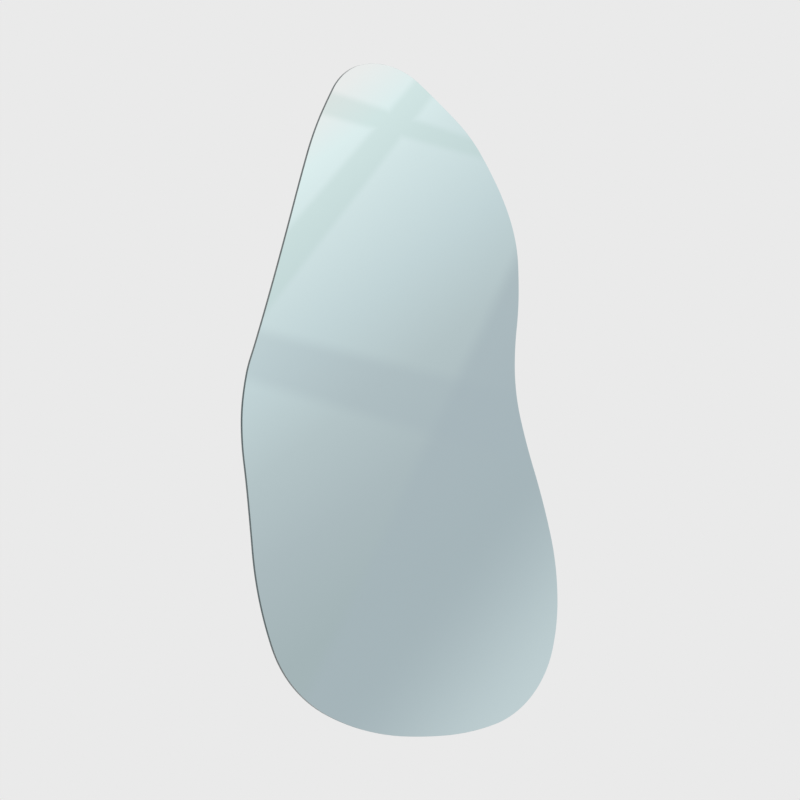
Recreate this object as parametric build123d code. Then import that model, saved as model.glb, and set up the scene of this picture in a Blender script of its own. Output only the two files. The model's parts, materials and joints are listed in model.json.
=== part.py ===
from build123d import *
import math
import os

os.makedirs("parts", exist_ok=True)

# A frameless wall mirror with a free-form outline and a hidden light channel behind it.
# Every piece is drawn lying on its back: x to the right, y up the wall, z out from the wall.
# It is then stood up, so that z = 0 is the wall and the glass faces -Y.
# The origin is midway between the two wall screws.

# Outline of the glass about its own centre: x, up and heading in degrees, anticlockwise from the lowest point
OUTLINE = [
    (72, -453.5, 0),
    (219, -404, 48),
    (258.5, -280, 90),
    (218, -95, 110),
    (186.3, 47, 90),
    (192.8, 151, 90),
    (186.5, 222, 104),
    (160, 287, 119),
    (90, 378, 140.5),
    (-38, 447.2, 180),
    (-85, 432, 218),
    (-117.5, 384, 243),
    (-162, 260, 253.5),
    (-219, 78, 251.5),
    (-233.5, 33, 258),
    (-240.6, -29, 270),
    (-231, -130, 276),
    (-214, -260, 283),
    (-161, -378, 313),
    (-57, -437.5, 343),
]
PANE_X = -4.0
PANE_UP = -250.0

# Glass, film and bonding tape
GLASS = 5.0
ARRIS = 0.7
FILM = 0.3
FILM_INSET = 2.0
BOND = 1.0
BOND_MARGIN = 1.0

# Light channel, an aluminium section bent round behind the glass
RAIL_INSET = 28.0
RAIL_DEPTH = 22.0
RAIL_WALL = 1.5
CHANNEL_WIDTH = 10.0
BOND_FLANGE = 10.5
SCREW_FLANGE = 14.5
GROOVE_LIP = 1.2
GROOVE_RISE = 1.0
DIFFUSER = 1.5
DIFFUSER_PLAY = 0.2
SWITCH_GAP = 54.0
TOP_JOINT_GAP = 0.4
SPLICE_HALF = 32.0
SPLICE_SHEET = 2.0
SPLICE_MARGIN = 1.0
SPLICE_SCREW_INSET = 8.0
SPLICE_SCREW_PITCH = 14.0
PLATE_LAP = 15.0
PLATE_TAB_EXTRA = 3.0
CAP = 2.0
SPIGOT = 6.0
SPIGOT_PLAY = 0.6

# Light tape
TAPE_WIDTH = 10.0
TAPE_THICK = 0.3
TAPE_END = 8.0
CHIP_LENGTH = 3.5
CHIP_WIDTH = 2.8
CHIP_THICK = 0.7
CHIP_LIFT = 0.05
CHIP_PITCH = 16.7
CONNECTOR_LENGTH = 12.0
CONNECTOR_THICK = 4.0
CONNECTOR_EXTRA = 2.0
CONNECTOR_SPACE = 3.0

# Cross bars, as heights of their centre lines
BAR_WIDTH = 30.0
BAR_THICK = 3.0
BAR_END_PLAY = 1.5
MIDDLE_UP = -440.0
LOWER_UP = -585.0
BAR_SCREW_OFFSET = 8.0

# Hanging cleats
CLEAT_SHEET = 2.0
WALL_CLEAT_LENGTH = 180.0
MIRROR_CLEAT_LENGTH = 160.0
WALL_CLEAT_BELOW = 12.0
WALL_STEP_UP = 8.0
LIP_RISE = 12.0
LIP_HOOK = 10.0
LIP_TO_WALL = 2.25
LIP_PLAY = 0.35
BASE_PLAY = 0.1
MIRROR_CLEAT_BASE = 26.0
WALL_HOLE_RADIUS = 2.75
WALL_HOLE_SPACING = 140.0
RIVET_SPACING = 60.0
RIVET_RISE = 11.0

# Fasteners
M4_SHANK = 2.0
M4_HEAD = 3.8
M4_HEAD_THICK = 2.4
M4_REACH = 4.0
M3_SHANK = 1.5
M3_HEAD = 2.8
M3_HEAD_THICK = 2.0
M3_REACH = 3.0
HOLE_PLAY = 0.15
THREAD_PLAY = 0.05
DRIVE_RADIUS = 1.1
DRIVE_DEPTH = 1.2
HEAD_ROUND = 0.45
RIVET_HEAD = 4.0
RIVET_HEAD_THICK = 1.2
RIVET_BULB = 3.0
RIVET_BULB_THICK = 2.4
RIVET_ROUND = 0.7

# Wall spacers, each a rubber foot on a thumbscrew in a rivet nut
SPACER_LEFT_X = -116.0
SPACER_RIGHT_X = 182.0
FOOT_RADIUS = 8.0
FOOT_THICK = 3.0
FOOT_PLAY = 0.2
TIP_RADIUS = 1.5
TIP_LENGTH = 2.0
THUMB_RADIUS = 9.0
THUMB_THICK = 3.0
THUMB_FLUTES = 18
FLUTE_RADIUS = 0.8
STUD_RADIUS = 2.9
STUD_LENGTH = 22.0
NUT_BORE = 2.98
NUT_BODY = 4.4
NUT_FLANGE = 6.5
NUT_FLANGE_THICK = 0.8
NUT_LENGTH = 14.0

# Gear tray hung between the middle and lower bars
TRAY_SHEET = 1.2
TRAY_BESIDE_BOX = 8.0
TRAY_BESIDE_DRIVER = 7.0
TRAY_TO_FILM = 4.0
TRAY_FLANGE = 12.0
TRAY_SCREW_INSET = 12.0
GEAR_DEPTH = 19.5
NOTCH_WIDTH = 10.0

# Light driver
CASE_GAP = 30.0
DRIVER_LENGTH = 140.0
DRIVER_HEIGHT = 42.0
CASE_WALL = 2.0
LID_THICK = 2.0
LID_RIM = 1.5
LID_PLAY = 0.15
EAR_LENGTH = 8.0
EAR_HALF = 10.0
EAR_THICK = 1.5
BOARD_THICK = 1.6
BOARD_MARGIN = 2.0
BOARD_STAND = 1.9
STAND_RADIUS = 2.5
VENT_COUNT = 9
VENT_PITCH = 6.0
VENT_WIDTH = 2.0
VENT_LENGTH = 18.0
PORT_LENGTH = 8.0
PORT_HALF = 8.0
PORT_RISE = 7.0
TRANSFORMER_GAP = 12.5
CORE_HALF = 12.0
CORE_HALF_WIDTH = 8.0
CORE_RISE = 8.5
COIL_HALF = 7.0
COIL_HALF_WIDTH = 12.0
COIL_RISE = 7.5
CAN_RADIUS = 4.0
CAN_LENGTH = 15.0
CAN_UP = 5.0
CAN_GAP = 6.0
FILTER_GAP = 7.5
FILTER_HALF = 6.5
FILTER_HALF_WIDTH = 4.0
FILTER_RISE = 8.0
SMALL_FILLET = 0.8

# Terminal box
BOX_LEFT = -97.0
BOX_LENGTH = 62.0
BOX_HEIGHT = 44.0
BOX_CORNER = 3.0
POST_RADIUS = 3.2
POST_SINK = 0.6
BLOCK_LENGTH = 34.0
BLOCK_WIDTH = 16.0
BLOCK_HEIGHT = 9.0
BLOCK_POLES = 3
POLE_PITCH = 10.0
POLE_SCREW = 1.5
POLE_ENTRY = 1.3
SLIT_HALF = 0.25

# Cable gland in the terminal box
GLAND_BORE = 3.25
GLAND_THREAD = 6.0
GLAND_HEX = 15.0
GLAND_HEX_THICK = 5.0
GLAND_DOME = 6.8
GLAND_DOME_LENGTH = 8.0
GLAND_INSIDE = 6.0
GLAND_NUT_THICK = 4.0
GLAND_ROOM = 0.62

# Rocker switch in the gap at the bottom
CUTOUT_LENGTH = 19.0
CUTOUT_WIDTH = 13.0
SNAP_PLAY = 0.2
BEZEL_OVERLAP = 1.3
BEZEL_THICK = 2.0
HOUSING_RISE = 18.0
HOUSING_SIDE = 1.0
ROCKER_PLAY = 0.3
ROCKER_HALF = 7.0
ROCKER_TIP = 4.5
ROCKER_VALLEY = 3.3
ROCKER_INNER_HALF = 6.0
ROCKER_INNER = 2.5
PIVOT_RISE = 2.5
PIVOT_RADIUS = 1.0
PIVOT_PLAY = 0.05
ROCKER_TILT = 10.0
CAVITY_HALF = 8.0
CAVITY_DEPTH = 8.5
BLADE_WIDTH = 4.8
BLADE_THICK = 0.8
BLADE_LENGTH = 7.5
BLADE_HALF_PITCH = 4.5
SOCKET_LENGTH = 16.0
SOCKET_WIDTH = 9.0
SOCKET_RISE = 10.0
SOCKET_PLAY = 0.1
SOCKET_SEAT = 0.5

# Earth stud on the tray
EARTH_ASIDE = 15.0
EARTH_DROP = 39.5
EARTH_RADIUS = 2.0
EARTH_LENGTH = 9.0
EARTH_HEX = 7.0
EARTH_NUT = 3.2
TAG_RADIUS = 3.6
TAG_THICK = 0.8

# Leads
MAINS_LEAD = 3.0
SWITCH_LEAD = 2.2
LED_LEAD = 1.6
EARTH_LEAD = 1.1
LEAD_HOLE_PLAY = 0.1
CLIP_WALL = 1.6
CLIP_LENGTH = 8.0
CLIP_FOOT = 2.0
SWITCH_CLIP_ROOM = 1.0
LED_CLIP_ROOM = 0.5
RUN_SHARE = 0.45
MAINS_RISE = 4.5
MAINS_SHIFT = 2.5
EARTH_EXIT_DROP = 8.5
LED_DROP = 6.0
FEED_RUN = 20.0

# Longer than any piece, for cutting
FAR = 1000.0

# Distances from the wall, from the cleats out to the front of the glass
LIP_BACK = LIP_TO_WALL
LIP_FRONT = LIP_BACK + CLEAT_SHEET
WALL_LIP_BACK = LIP_FRONT + LIP_PLAY
WALL_LIP_FRONT = WALL_LIP_BACK + CLEAT_SHEET
BASE_BACK = WALL_LIP_FRONT + BASE_PLAY
BAR_BACK = BASE_BACK + CLEAT_SHEET
BAR_FRONT = BAR_BACK + BAR_THICK
RAIL_BACK = BAR_FRONT
RAIL_FRONT = RAIL_BACK + RAIL_DEPTH
INNER_BACK = RAIL_BACK + RAIL_WALL
INNER_FRONT = RAIL_FRONT - RAIL_WALL
RAIL_MID = (RAIL_BACK + RAIL_FRONT) / 2
FILM_BACK = RAIL_FRONT + BOND
GLASS_BACK = FILM_BACK + FILM
GLASS_FRONT = GLASS_BACK + GLASS

# Heights that follow from the cleats and the bars, and places along the tray
HOOK_LOW = WALL_STEP_UP + CLEAT_SHEET
REST_UP = WALL_STEP_UP + LIP_RISE
HANGER_UP = REST_UP + RIVET_RISE
GEAR_UP = (MIDDLE_UP + LOWER_UP) / 2
BOX_RIGHT = BOX_LEFT + BOX_LENGTH
DRIVER_LEFT = BOX_RIGHT + CASE_GAP
DRIVER_RIGHT = DRIVER_LEFT + DRIVER_LENGTH
TRAY_LEFT = BOX_LEFT - TRAY_BESIDE_BOX
TRAY_RIGHT = DRIVER_RIGHT + EAR_LENGTH + TRAY_BESIDE_DRIVER
EARTH_X = BOX_RIGHT + EARTH_ASIDE
EARTH_UP = GEAR_UP - EARTH_DROP

# Insets of the channel's walls from the glass edge
WEB_OUTER = RAIL_INSET + CHANNEL_WIDTH
WEB_INNER = WEB_OUTER + RAIL_WALL
BOND_INNER = WEB_INNER + BOND_FLANGE
SCREW_INNER = WEB_INNER + SCREW_FLANGE
SCREW_LINE = (WEB_INNER + SCREW_INNER) / 2


def left_of(heading):
    """Unit vector a quarter turn to the left of a heading."""
    return Vector(-math.sin(heading), math.cos(heading))


def along(heading):
    """Unit vector along a heading."""
    return Vector(math.cos(heading), math.sin(heading))


def arc_between(start, heading, end):
    """Centre, radius and two headings of the arc that leaves start on a heading and reaches end."""
    chord = end - start
    lean = math.remainder(math.atan2(chord.Y, chord.X) - heading, 2 * math.pi)
    radius = chord.length / (2 * math.sin(lean))
    return start + left_of(heading) * radius, radius, heading, heading + 2 * lean


def pair_of_arcs(station, following):
    """Two arcs that meet in a common tangent and join one outline station to the next."""
    start = Vector(station[0] + PANE_X, station[1] + PANE_UP)
    end = Vector(following[0] + PANE_X, following[1] + PANE_UP)
    leave = along(math.radians(station[2]))
    arrive = along(math.radians(following[2]))
    chord = end - start
    spread = 2 * (1 - leave.dot(arrive))
    reach = chord.dot(leave + arrive)
    if spread < 1e-9:
        handle = chord.dot(chord) / (2 * reach)
    else:
        handle = (math.sqrt(reach**2 + spread * chord.dot(chord)) - reach) / spread
    middle = (start + leave * handle + end - arrive * handle) * 0.5
    first = arc_between(start, math.radians(station[2]), middle)
    return first, arc_between(middle, first[3], end)


ARCS = [arc for pair in zip(OUTLINE, OUTLINE[1:] + OUTLINE[:1]) for arc in pair_of_arcs(*pair)]


def arc_point(arc, heading, inset):
    """Point of an outline arc at a heading, moved inwards square to the edge."""
    centre, radius, _, _ = arc
    return centre - left_of(heading) * (radius - inset)


def pane_wire(inset):
    """Closed wire parallel to the glass edge, at an inset from it."""
    edges = []
    for arc in ARCS:
        stops = (arc[2], (arc[2] + arc[3]) / 2, arc[3])
        edges.append(ThreePointArc(*[arc_point(arc, heading, inset) for heading in stops]))
    return Wire(edges)


def slab(inset, back, front):
    """Sheet with the pane's outline at an inset, between two distances from the wall."""
    face = Pos(0, 0, back) * Face(pane_wire(inset))
    return extrude(face, amount=front - back, dir=(0, 0, 1))


def band(outer, inner, back, front):
    """Closed band between two insets from the glass edge."""
    face = Pos(0, 0, back) * Face(pane_wire(outer), [pane_wire(inner)])
    return extrude(face, amount=front - back, dir=(0, 0, 1))


def seat(inset, distance):
    """Point and heading on an inset outline, a distance along it from the lowest point."""
    for arc in ARCS:
        length = (arc[1] - inset) * (arc[3] - arc[2])
        if distance <= length:
            heading = arc[2] + (arc[3] - arc[2]) * distance / length
            return arc_point(arc, heading, inset), heading
        distance -= length


def round_length(inset):
    """Length once round the outline at an inset."""
    return sum((arc[1] - inset) * (arc[3] - arc[2]) for arc in ARCS)


def crossings(inset, across, value):
    """Points where an inset outline crosses an x (across 0) or a height (across 1)."""
    found = []
    for arc in ARCS:
        centre, radius, begin, end = arc
        ratio = (value - centre.X if across == 0 else centre.Y - value) / (radius - inset)
        if abs(ratio) > 1:
            continue
        first = math.asin(ratio) if across == 0 else math.acos(ratio)
        for heading in (first, math.pi - first if across == 0 else -first):
            if min(begin, end) <= heading % (2 * math.pi) <= max(begin, end):
                found.append(arc_point(arc, heading, inset))
    return found


def side_x(inset, up, side):
    """X where an inset outline crosses a height, on the left (-1) or right (1) side."""
    return side * max(side * point.X for point in crossings(inset, 1, up))


def end_up(inset, x, side):
    """Height where an inset outline crosses an x, at the bottom (-1) or top (1)."""
    return side * max(side * point.Y for point in crossings(inset, 0, x))


def at_seat(inset, distance, z):
    """Plane on the outline at an inset: x runs along the edge, y inwards, z out from the wall."""
    point, heading = seat(inset, distance)
    return Plane(origin=(point.X, point.Y, z), x_dir=along(heading), z_dir=(0, 0, 1))


def block(x0, x1, y0, y1, z0, z1):
    """Box between two corners."""
    return Pos((x0 + x1) / 2, (y0 + y1) / 2, (z0 + z1) / 2) * Box(x1 - x0, y1 - y0, z1 - z0)


def rod(x, y, z0, z1, radius):
    """Round bar square to the wall."""
    return Pos(x, y, (z0 + z1) / 2) * Cylinder(radius, z1 - z0)


def prism(x, y, z0, z1, flats):
    """Hexagonal bar square to the wall."""
    return Pos(x, y, z0) * extrude(RegularPolygon(flats / 2, 6, major_radius=False), z1 - z0)


def screw(x, y, seat_z, grip, shank, head, head_thick, reach):
    """Pan-head screw driven from the back: its head lies behind seat_z and its shank runs to the front."""
    body = rod(x, y, seat_z - head_thick, seat_z, head)
    body = fillet(body.edges().group_by(Axis.Z)[0], head_thick * HEAD_ROUND)
    body -= rod(x, y, seat_z - head_thick, seat_z - head_thick + DRIVE_DEPTH, DRIVE_RADIUS)
    return body + rod(x, y, seat_z, seat_z + grip + reach, shank)


def m4(x, y, seat_z, grip):
    """M4 screw through a grip of metal."""
    return screw(x, y, seat_z, grip, M4_SHANK, M4_HEAD, M4_HEAD_THICK, M4_REACH)


def m3(x, y, seat_z, grip):
    """M3 screw through a grip of metal or plastic."""
    return screw(x, y, seat_z, grip, M3_SHANK, M3_HEAD, M3_HEAD_THICK, M3_REACH)


def lead_path(points):
    """Smooth route of a lead: straight runs joined by the largest arcs that its points allow."""
    vectors = [Vector(*point) for point in points]
    radii = []
    for before, here, after in zip(vectors, vectors[1:], vectors[2:]):
        turn = math.radians((here - before).get_angle(after - here))
        shorter = min((here - before).length, (after - here).length)
        radii.append(RUN_SHARE * shorter / math.tan(turn / 2))
    return FilletPolyline(*vectors, radius=radii), radii


def lead(name, points, radius):
    """Round lead along a route, with its bend radii and length printed."""
    path, radii = lead_path(points)
    profile = Plane(origin=path @ 0, z_dir=path % 0) * Circle(radius)
    solid = sweep(profile, path=path)
    share = solid.volume / (math.pi * radius**2 * path.length)
    rounded = [round(value, 1) for value in radii]
    print(f"{name}: length {path.length:.1f}, radii {rounded}, volume share {share:.4f}")
    return solid


def save(name, *pieces):
    """Stands a node's solids up against the wall and writes them."""
    solids = [Plane.XZ.location * solid for piece in pieces for solid in piece.solids()]
    export_step(solids[0] if len(solids) == 1 else Compound(solids), f"parts/{name}.step")


# Mirror pane, its safety film and the bonding tape
glass = slab(0, GLASS_BACK, GLASS_FRONT)
glass = chamfer(glass.edges().group_by(Axis.Z)[0] + glass.edges().group_by(Axis.Z)[-1], ARRIS)
save("mirror_glass", glass)
save("safety_film", slab(FILM_INSET, FILM_BACK, GLASS_BACK))
bond = band(RAIL_INSET + BOND_MARGIN, BOND_INNER - BOND_MARGIN, RAIL_FRONT, FILM_BACK)
save("bonding_tape", bond)

# Places that the light channel's two halves meet at: the highest point and the lowest
TOP_X = max(OUTLINE, key=lambda station: station[1])[0] + PANE_X
SWITCH_X = OUTLINE[0][0] + PANE_X
SWITCH_UP = OUTLINE[0][1] + PANE_UP


def channel():
    """Whole closed section: web, flanges, and the grooves that hold the diffuser."""
    groove = RAIL_INSET + GROOVE_LIP + DIFFUSER + 2 * DIFFUSER_PLAY
    parts = [
        band(WEB_OUTER, WEB_INNER, RAIL_BACK, RAIL_FRONT),
        band(RAIL_INSET, BOND_INNER, INNER_FRONT, RAIL_FRONT),
        band(RAIL_INSET, SCREW_INNER, RAIL_BACK, INNER_BACK),
    ]
    for outer in (RAIL_INSET, groove):
        parts.append(band(outer, outer + GROOVE_LIP, INNER_BACK, INNER_BACK + GROOVE_RISE))
        parts.append(band(outer, outer + GROOVE_LIP, INNER_FRONT - GROOVE_RISE, INNER_FRONT))
    return parts[0].fuse(*parts[1:])


def half_space(side):
    """Everything on one side of the top joint and of the switch gap."""
    top = TOP_X + side * TOP_JOINT_GAP / 2
    bottom = SWITCH_X + side * SWITCH_GAP / 2
    ends = sorted((top, top + side * FAR))
    upper = block(ends[0], ends[1], PANE_UP, PANE_UP + FAR, 0, GLASS_FRONT)
    ends = sorted((bottom, bottom + side * FAR))
    return upper, block(ends[0], ends[1], PANE_UP - FAR, PANE_UP, 0, GLASS_FRONT)


def bar_screw_places(up):
    """Four screw centres of a cross bar, two on each side flange of the channel."""
    levels = (up - BAR_SCREW_OFFSET, up + BAR_SCREW_OFFSET)
    return [(side_x(SCREW_LINE, level, side), level) for side in (-1, 1) for level in levels]


def joint_places(middle, offsets, side):
    """Screw centres on the channel's screw flange, offset in x from a joint at the top or bottom."""
    return [(middle + offset, end_up(SCREW_LINE, middle + offset, side)) for offset in offsets]


def gap_block(before, after):
    """Space round the switch gap, from a distance left of its middle to one right of it."""
    return block(SWITCH_X - before, SWITCH_X + after, SWITCH_UP - 1, PANE_UP, 0, GLASS_FRONT)


BAR_SCREWS = [place for up in (HANGER_UP, MIDDLE_UP, LOWER_UP) for place in bar_screw_places(up)]
splice_outer = SPLICE_HALF - SPLICE_SCREW_INSET
splice_inner = splice_outer - SPLICE_SCREW_PITCH
SPLICE_SCREWS = joint_places(TOP_X, (-splice_outer, -splice_inner, splice_inner, splice_outer), 1)
plate_offset = SWITCH_GAP / 2 + PLATE_LAP / 2
PLATE_SCREWS = joint_places(SWITCH_X, (-plate_offset, plate_offset), -1)

# Feed point of the light tape, on the outside of the channel's web beside the switch gap
CONNECTOR_START = SWITCH_GAP / 2 + SPIGOT + CONNECTOR_SPACE
CONNECTOR_END = CONNECTOR_START + CONNECTOR_LENGTH
FEED = at_seat(WEB_OUTER, (CONNECTOR_START + CONNECTOR_END) / 2, RAIL_MID)


def feed_bore(radius, start, end):
    """Round space square to the web at the feed point, between two distances inwards."""
    length = end - start
    return FEED * Pos(0, (start + end) / 2, 0) * Rot(90, 0, 0) * Cylinder(radius, length)


# Light channel in two halves
section = channel()
for place in BAR_SCREWS + SPLICE_SCREWS + PLATE_SCREWS:
    section -= rod(*place, RAIL_BACK, INNER_BACK, M4_SHANK + THREAD_PLAY)
section -= feed_bore(LED_LEAD + LEAD_HOLE_PLAY, -1, RAIL_WALL + 1)
for name, side in (("rail_left", -1), ("rail_right", 1)):
    upper, lower = half_space(side)
    save(name, (section & upper) + (section & lower))

# Splice plate across the top joint, on the front of the screw flange
splice = band(WEB_INNER + SPLICE_MARGIN, SCREW_INNER - SPLICE_MARGIN, INNER_BACK, INNER_BACK + SPLICE_SHEET)
splice &= block(TOP_X - SPLICE_HALF, TOP_X + SPLICE_HALF, PANE_UP, PANE_UP + FAR, 0, GLASS_FRONT)
for place in SPLICE_SCREWS:
    splice -= rod(*place, INNER_BACK, INNER_BACK + SPLICE_SHEET, M4_SHANK + THREAD_PLAY)
save("top_splice", splice)

# Caps on the channel's two ends, each with a spigot inside the channel
cap_band = band(RAIL_INSET, WEB_INNER, RAIL_BACK, RAIL_FRONT)
spigot_outer = RAIL_INSET + 2 * GROOVE_LIP + DIFFUSER + 2 * DIFFUSER_PLAY + SPIGOT_PLAY
spigot_inner = WEB_OUTER - TAPE_THICK - SPIGOT_PLAY
spigot_band = band(spigot_outer, spigot_inner, INNER_BACK + SPIGOT_PLAY, INNER_FRONT - SPIGOT_PLAY)
cap_half = SWITCH_GAP / 2
caps = []
for side in (-1, 1):
    faces = sorted((SWITCH_X + side * (cap_half - CAP), SWITCH_X + side * cap_half))
    plate = cap_band & block(*faces, SWITCH_UP - 1, PANE_UP, 0, GLASS_FRONT)
    faces = sorted((SWITCH_X + side * cap_half, SWITCH_X + side * (cap_half + SPIGOT)))
    caps.append(plate + (spigot_band & block(*faces, SWITCH_UP - 1, PANE_UP, 0, GLASS_FRONT)))
save("channel_end_caps", *caps)

# Opal diffuser in the channel's grooves
diffuser_outer = RAIL_INSET + GROOVE_LIP + DIFFUSER_PLAY
diffuser = band(
    diffuser_outer,
    diffuser_outer + DIFFUSER,
    INNER_BACK + DIFFUSER_PLAY,
    INNER_FRONT - DIFFUSER_PLAY,
)
save("diffuser", diffuser - gap_block(cap_half + DIFFUSER_PLAY, cap_half + DIFFUSER_PLAY))

# Light tape round the outside of the web, its chips and its clip-on connector
tape_back = RAIL_MID - TAPE_WIDTH / 2
tape = band(WEB_OUTER - TAPE_THICK, WEB_OUTER, tape_back, tape_back + TAPE_WIDTH)
save("led_tape", tape - gap_block(cap_half + TAPE_END, CONNECTOR_END + DIFFUSER_PLAY))
chip_line = WEB_OUTER - TAPE_THICK - CHIP_LIFT
first_chip = CONNECTOR_END + CHIP_PITCH / 2
last_chip = round_length(chip_line) - cap_half - TAPE_END - CHIP_PITCH / 2
chip_count = int((last_chip - first_chip) / CHIP_PITCH) + 1
chips = []
for index in range(chip_count):
    plane = at_seat(chip_line, first_chip + index * CHIP_PITCH, RAIL_MID)
    chips.append(plane * Pos(0, -CHIP_THICK / 2, 0) * Box(CHIP_LENGTH, CHIP_THICK, CHIP_WIDTH))
save("led_chips", *chips)
connector_width = TAPE_WIDTH + CONNECTOR_EXTRA
connector = Box(CONNECTOR_LENGTH, CONNECTOR_THICK, connector_width)
connector = FEED * Pos(0, -CONNECTOR_THICK / 2, 0) * connector
save("tape_connector", connector)

# Cross bars on the back of the channel
SPACERS = {"left": (SPACER_LEFT_X, LOWER_UP), "right": (SPACER_RIGHT_X, LOWER_UP)}
RIVETS = [(index * RIVET_SPACING, HANGER_UP) for index in (-1, 0, 1)]
TRAY_BACK_FACE = FILM_BACK - TRAY_TO_FILM - TRAY_SHEET
tray_low = LOWER_UP + BAR_WIDTH / 2
tray_high = MIDDLE_UP - BAR_WIDTH / 2
tray_screw_x = (TRAY_LEFT + TRAY_SCREW_INSET, TRAY_RIGHT - TRAY_SCREW_INSET)
TRAY_SCREWS = [(x, tray_low - TRAY_FLANGE / 2) for x in tray_screw_x]
TRAY_SCREWS += [(x, tray_high + TRAY_FLANGE / 2) for x in tray_screw_x]


def cross_bar(up, holes):
    """Flat bar that ends parallel to the channel's web, with its screw holes and any others."""
    bar = slab(WEB_INNER + BAR_END_PLAY, BAR_BACK, BAR_FRONT)
    bar &= block(-FAR, FAR, up - BAR_WIDTH / 2, up + BAR_WIDTH / 2, 0, GLASS_FRONT)
    for place in bar_screw_places(up):
        bar -= rod(*place, BAR_BACK, BAR_FRONT, M4_SHANK + HOLE_PLAY)
    for x, y, radius in holes:
        bar -= rod(x, y, BAR_BACK, BAR_FRONT, radius)
    return bar


tray_hole = M4_SHANK + HOLE_PLAY
save("hanger_bar", cross_bar(HANGER_UP, [(*place, M4_SHANK + HOLE_PLAY) for place in RIVETS]))
save("middle_bar", cross_bar(MIDDLE_UP, [(*place, tray_hole) for place in TRAY_SCREWS[2:]]))
lower_holes = [(*place, tray_hole) for place in TRAY_SCREWS[:2]]
lower_holes += [(*place, NUT_BODY + THREAD_PLAY) for place in SPACERS.values()]
save("lower_bar", cross_bar(LOWER_UP, lower_holes))
save("bar_screws", *[m4(*place, BAR_BACK, BAR_THICK + RAIL_WALL) for place in BAR_SCREWS])
save("splice_screws", *[m4(*place, RAIL_BACK, RAIL_WALL + SPLICE_SHEET) for place in SPLICE_SCREWS])

# Cleat on the mirror: a Z section whose hook points down, riveted to the hanger bar
cleat_half = MIRROR_CLEAT_LENGTH / 2
mirror_cleat = block(-cleat_half, cleat_half, REST_UP, REST_UP + MIRROR_CLEAT_BASE, BASE_BACK, BAR_BACK)
mirror_cleat += block(-cleat_half, cleat_half, REST_UP, REST_UP + CLEAT_SHEET, LIP_BACK, BAR_BACK)
mirror_cleat += block(
    -cleat_half,
    cleat_half,
    REST_UP + CLEAT_SHEET - LIP_HOOK,
    REST_UP + CLEAT_SHEET,
    LIP_BACK,
    LIP_FRONT,
)
for place in RIVETS:
    mirror_cleat -= rod(*place, BASE_BACK, BAR_BACK, M4_SHANK + HOLE_PLAY)
save("mirror_cleat", mirror_cleat)


def rivet(x, y):
    """Blind rivet: domed head at the back, set bulb on the front of the hanger bar."""
    head = rod(x, y, BASE_BACK - RIVET_HEAD_THICK, BASE_BACK, RIVET_HEAD)
    head = fillet(head.edges().group_by(Axis.Z)[0], RIVET_HEAD_THICK * RIVET_ROUND)
    bulb = rod(x, y, BAR_FRONT, BAR_FRONT + RIVET_BULB_THICK, RIVET_BULB)
    bulb = fillet(bulb.edges(), RIVET_BULB_THICK * HEAD_ROUND)
    return head + rod(x, y, BASE_BACK, BAR_FRONT, M4_SHANK) + bulb


save("cleat_rivets", *[rivet(*place) for place in RIVETS])

# Cleat on the wall: the same section turned over, with two screw holes
wall_half = WALL_CLEAT_LENGTH / 2
wall_cleat = block(-wall_half, wall_half, -WALL_CLEAT_BELOW, HOOK_LOW, 0, CLEAT_SHEET)
wall_cleat += block(-wall_half, wall_half, WALL_STEP_UP, HOOK_LOW, 0, WALL_LIP_FRONT)
wall_cleat += block(-wall_half, wall_half, WALL_STEP_UP, REST_UP, WALL_LIP_BACK, WALL_LIP_FRONT)
for side in (-1, 1):
    wall_cleat -= rod(side * WALL_HOLE_SPACING / 2, 0, 0, CLEAT_SHEET, WALL_HOLE_RADIUS)
save("wall_cleat", wall_cleat)

# Rivet nuts in the lower bar, and the thumbscrews and rubber feet that set the mirror square to the wall
THUMB_BACK = FOOT_THICK + FOOT_PLAY
THUMB_FRONT = THUMB_BACK + THUMB_THICK


def rivet_nut(x, y):
    """Flanged threaded sleeve set through the lower bar."""
    nut = rod(x, y, BAR_BACK - NUT_FLANGE_THICK, BAR_BACK, NUT_FLANGE)
    nut += rod(x, y, BAR_BACK, BAR_BACK + NUT_LENGTH, NUT_BODY)
    nut += rod(x, y, BAR_FRONT, BAR_FRONT + RIVET_BULB_THICK, NUT_FLANGE - NUT_FLANGE_THICK)
    return nut - rod(x, y, 0, GLASS_BACK, NUT_BORE)


def spacer_foot(x, y):
    """Rubber foot with a socket for the thumbscrew's tip."""
    foot = rod(x, y, 0, FOOT_THICK, FOOT_RADIUS)
    foot = fillet(foot.edges().group_by(Axis.Z)[0], FOOT_THICK / 3)
    return foot - rod(x, y, FOOT_THICK - TIP_LENGTH, FOOT_THICK, TIP_RADIUS + LEAD_HOLE_PLAY)


def spacer_screw(x, y):
    """Thumbscrew: a tip in the foot, a fluted wheel, and a threaded stud."""
    wheel = rod(x, y, THUMB_BACK, THUMB_FRONT, THUMB_RADIUS)
    for index in range(THUMB_FLUTES):
        turn = 2 * math.pi * index / THUMB_FLUTES
        flute = (x + THUMB_RADIUS * math.cos(turn), y + THUMB_RADIUS * math.sin(turn))
        wheel -= rod(*flute, THUMB_BACK, THUMB_FRONT, FLUTE_RADIUS)
    tip = rod(x, y, THUMB_BACK - TIP_LENGTH, THUMB_BACK, TIP_RADIUS)
    return wheel + tip + rod(x, y, THUMB_FRONT, THUMB_FRONT + STUD_LENGTH, STUD_RADIUS)


save("rivet_nuts", *[rivet_nut(*place) for place in SPACERS.values()])
for side, place in SPACERS.items():
    save(f"spacer_foot_{side}", spacer_foot(*place))
    save(f"spacer_screw_{side}", spacer_screw(*place))

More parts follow.
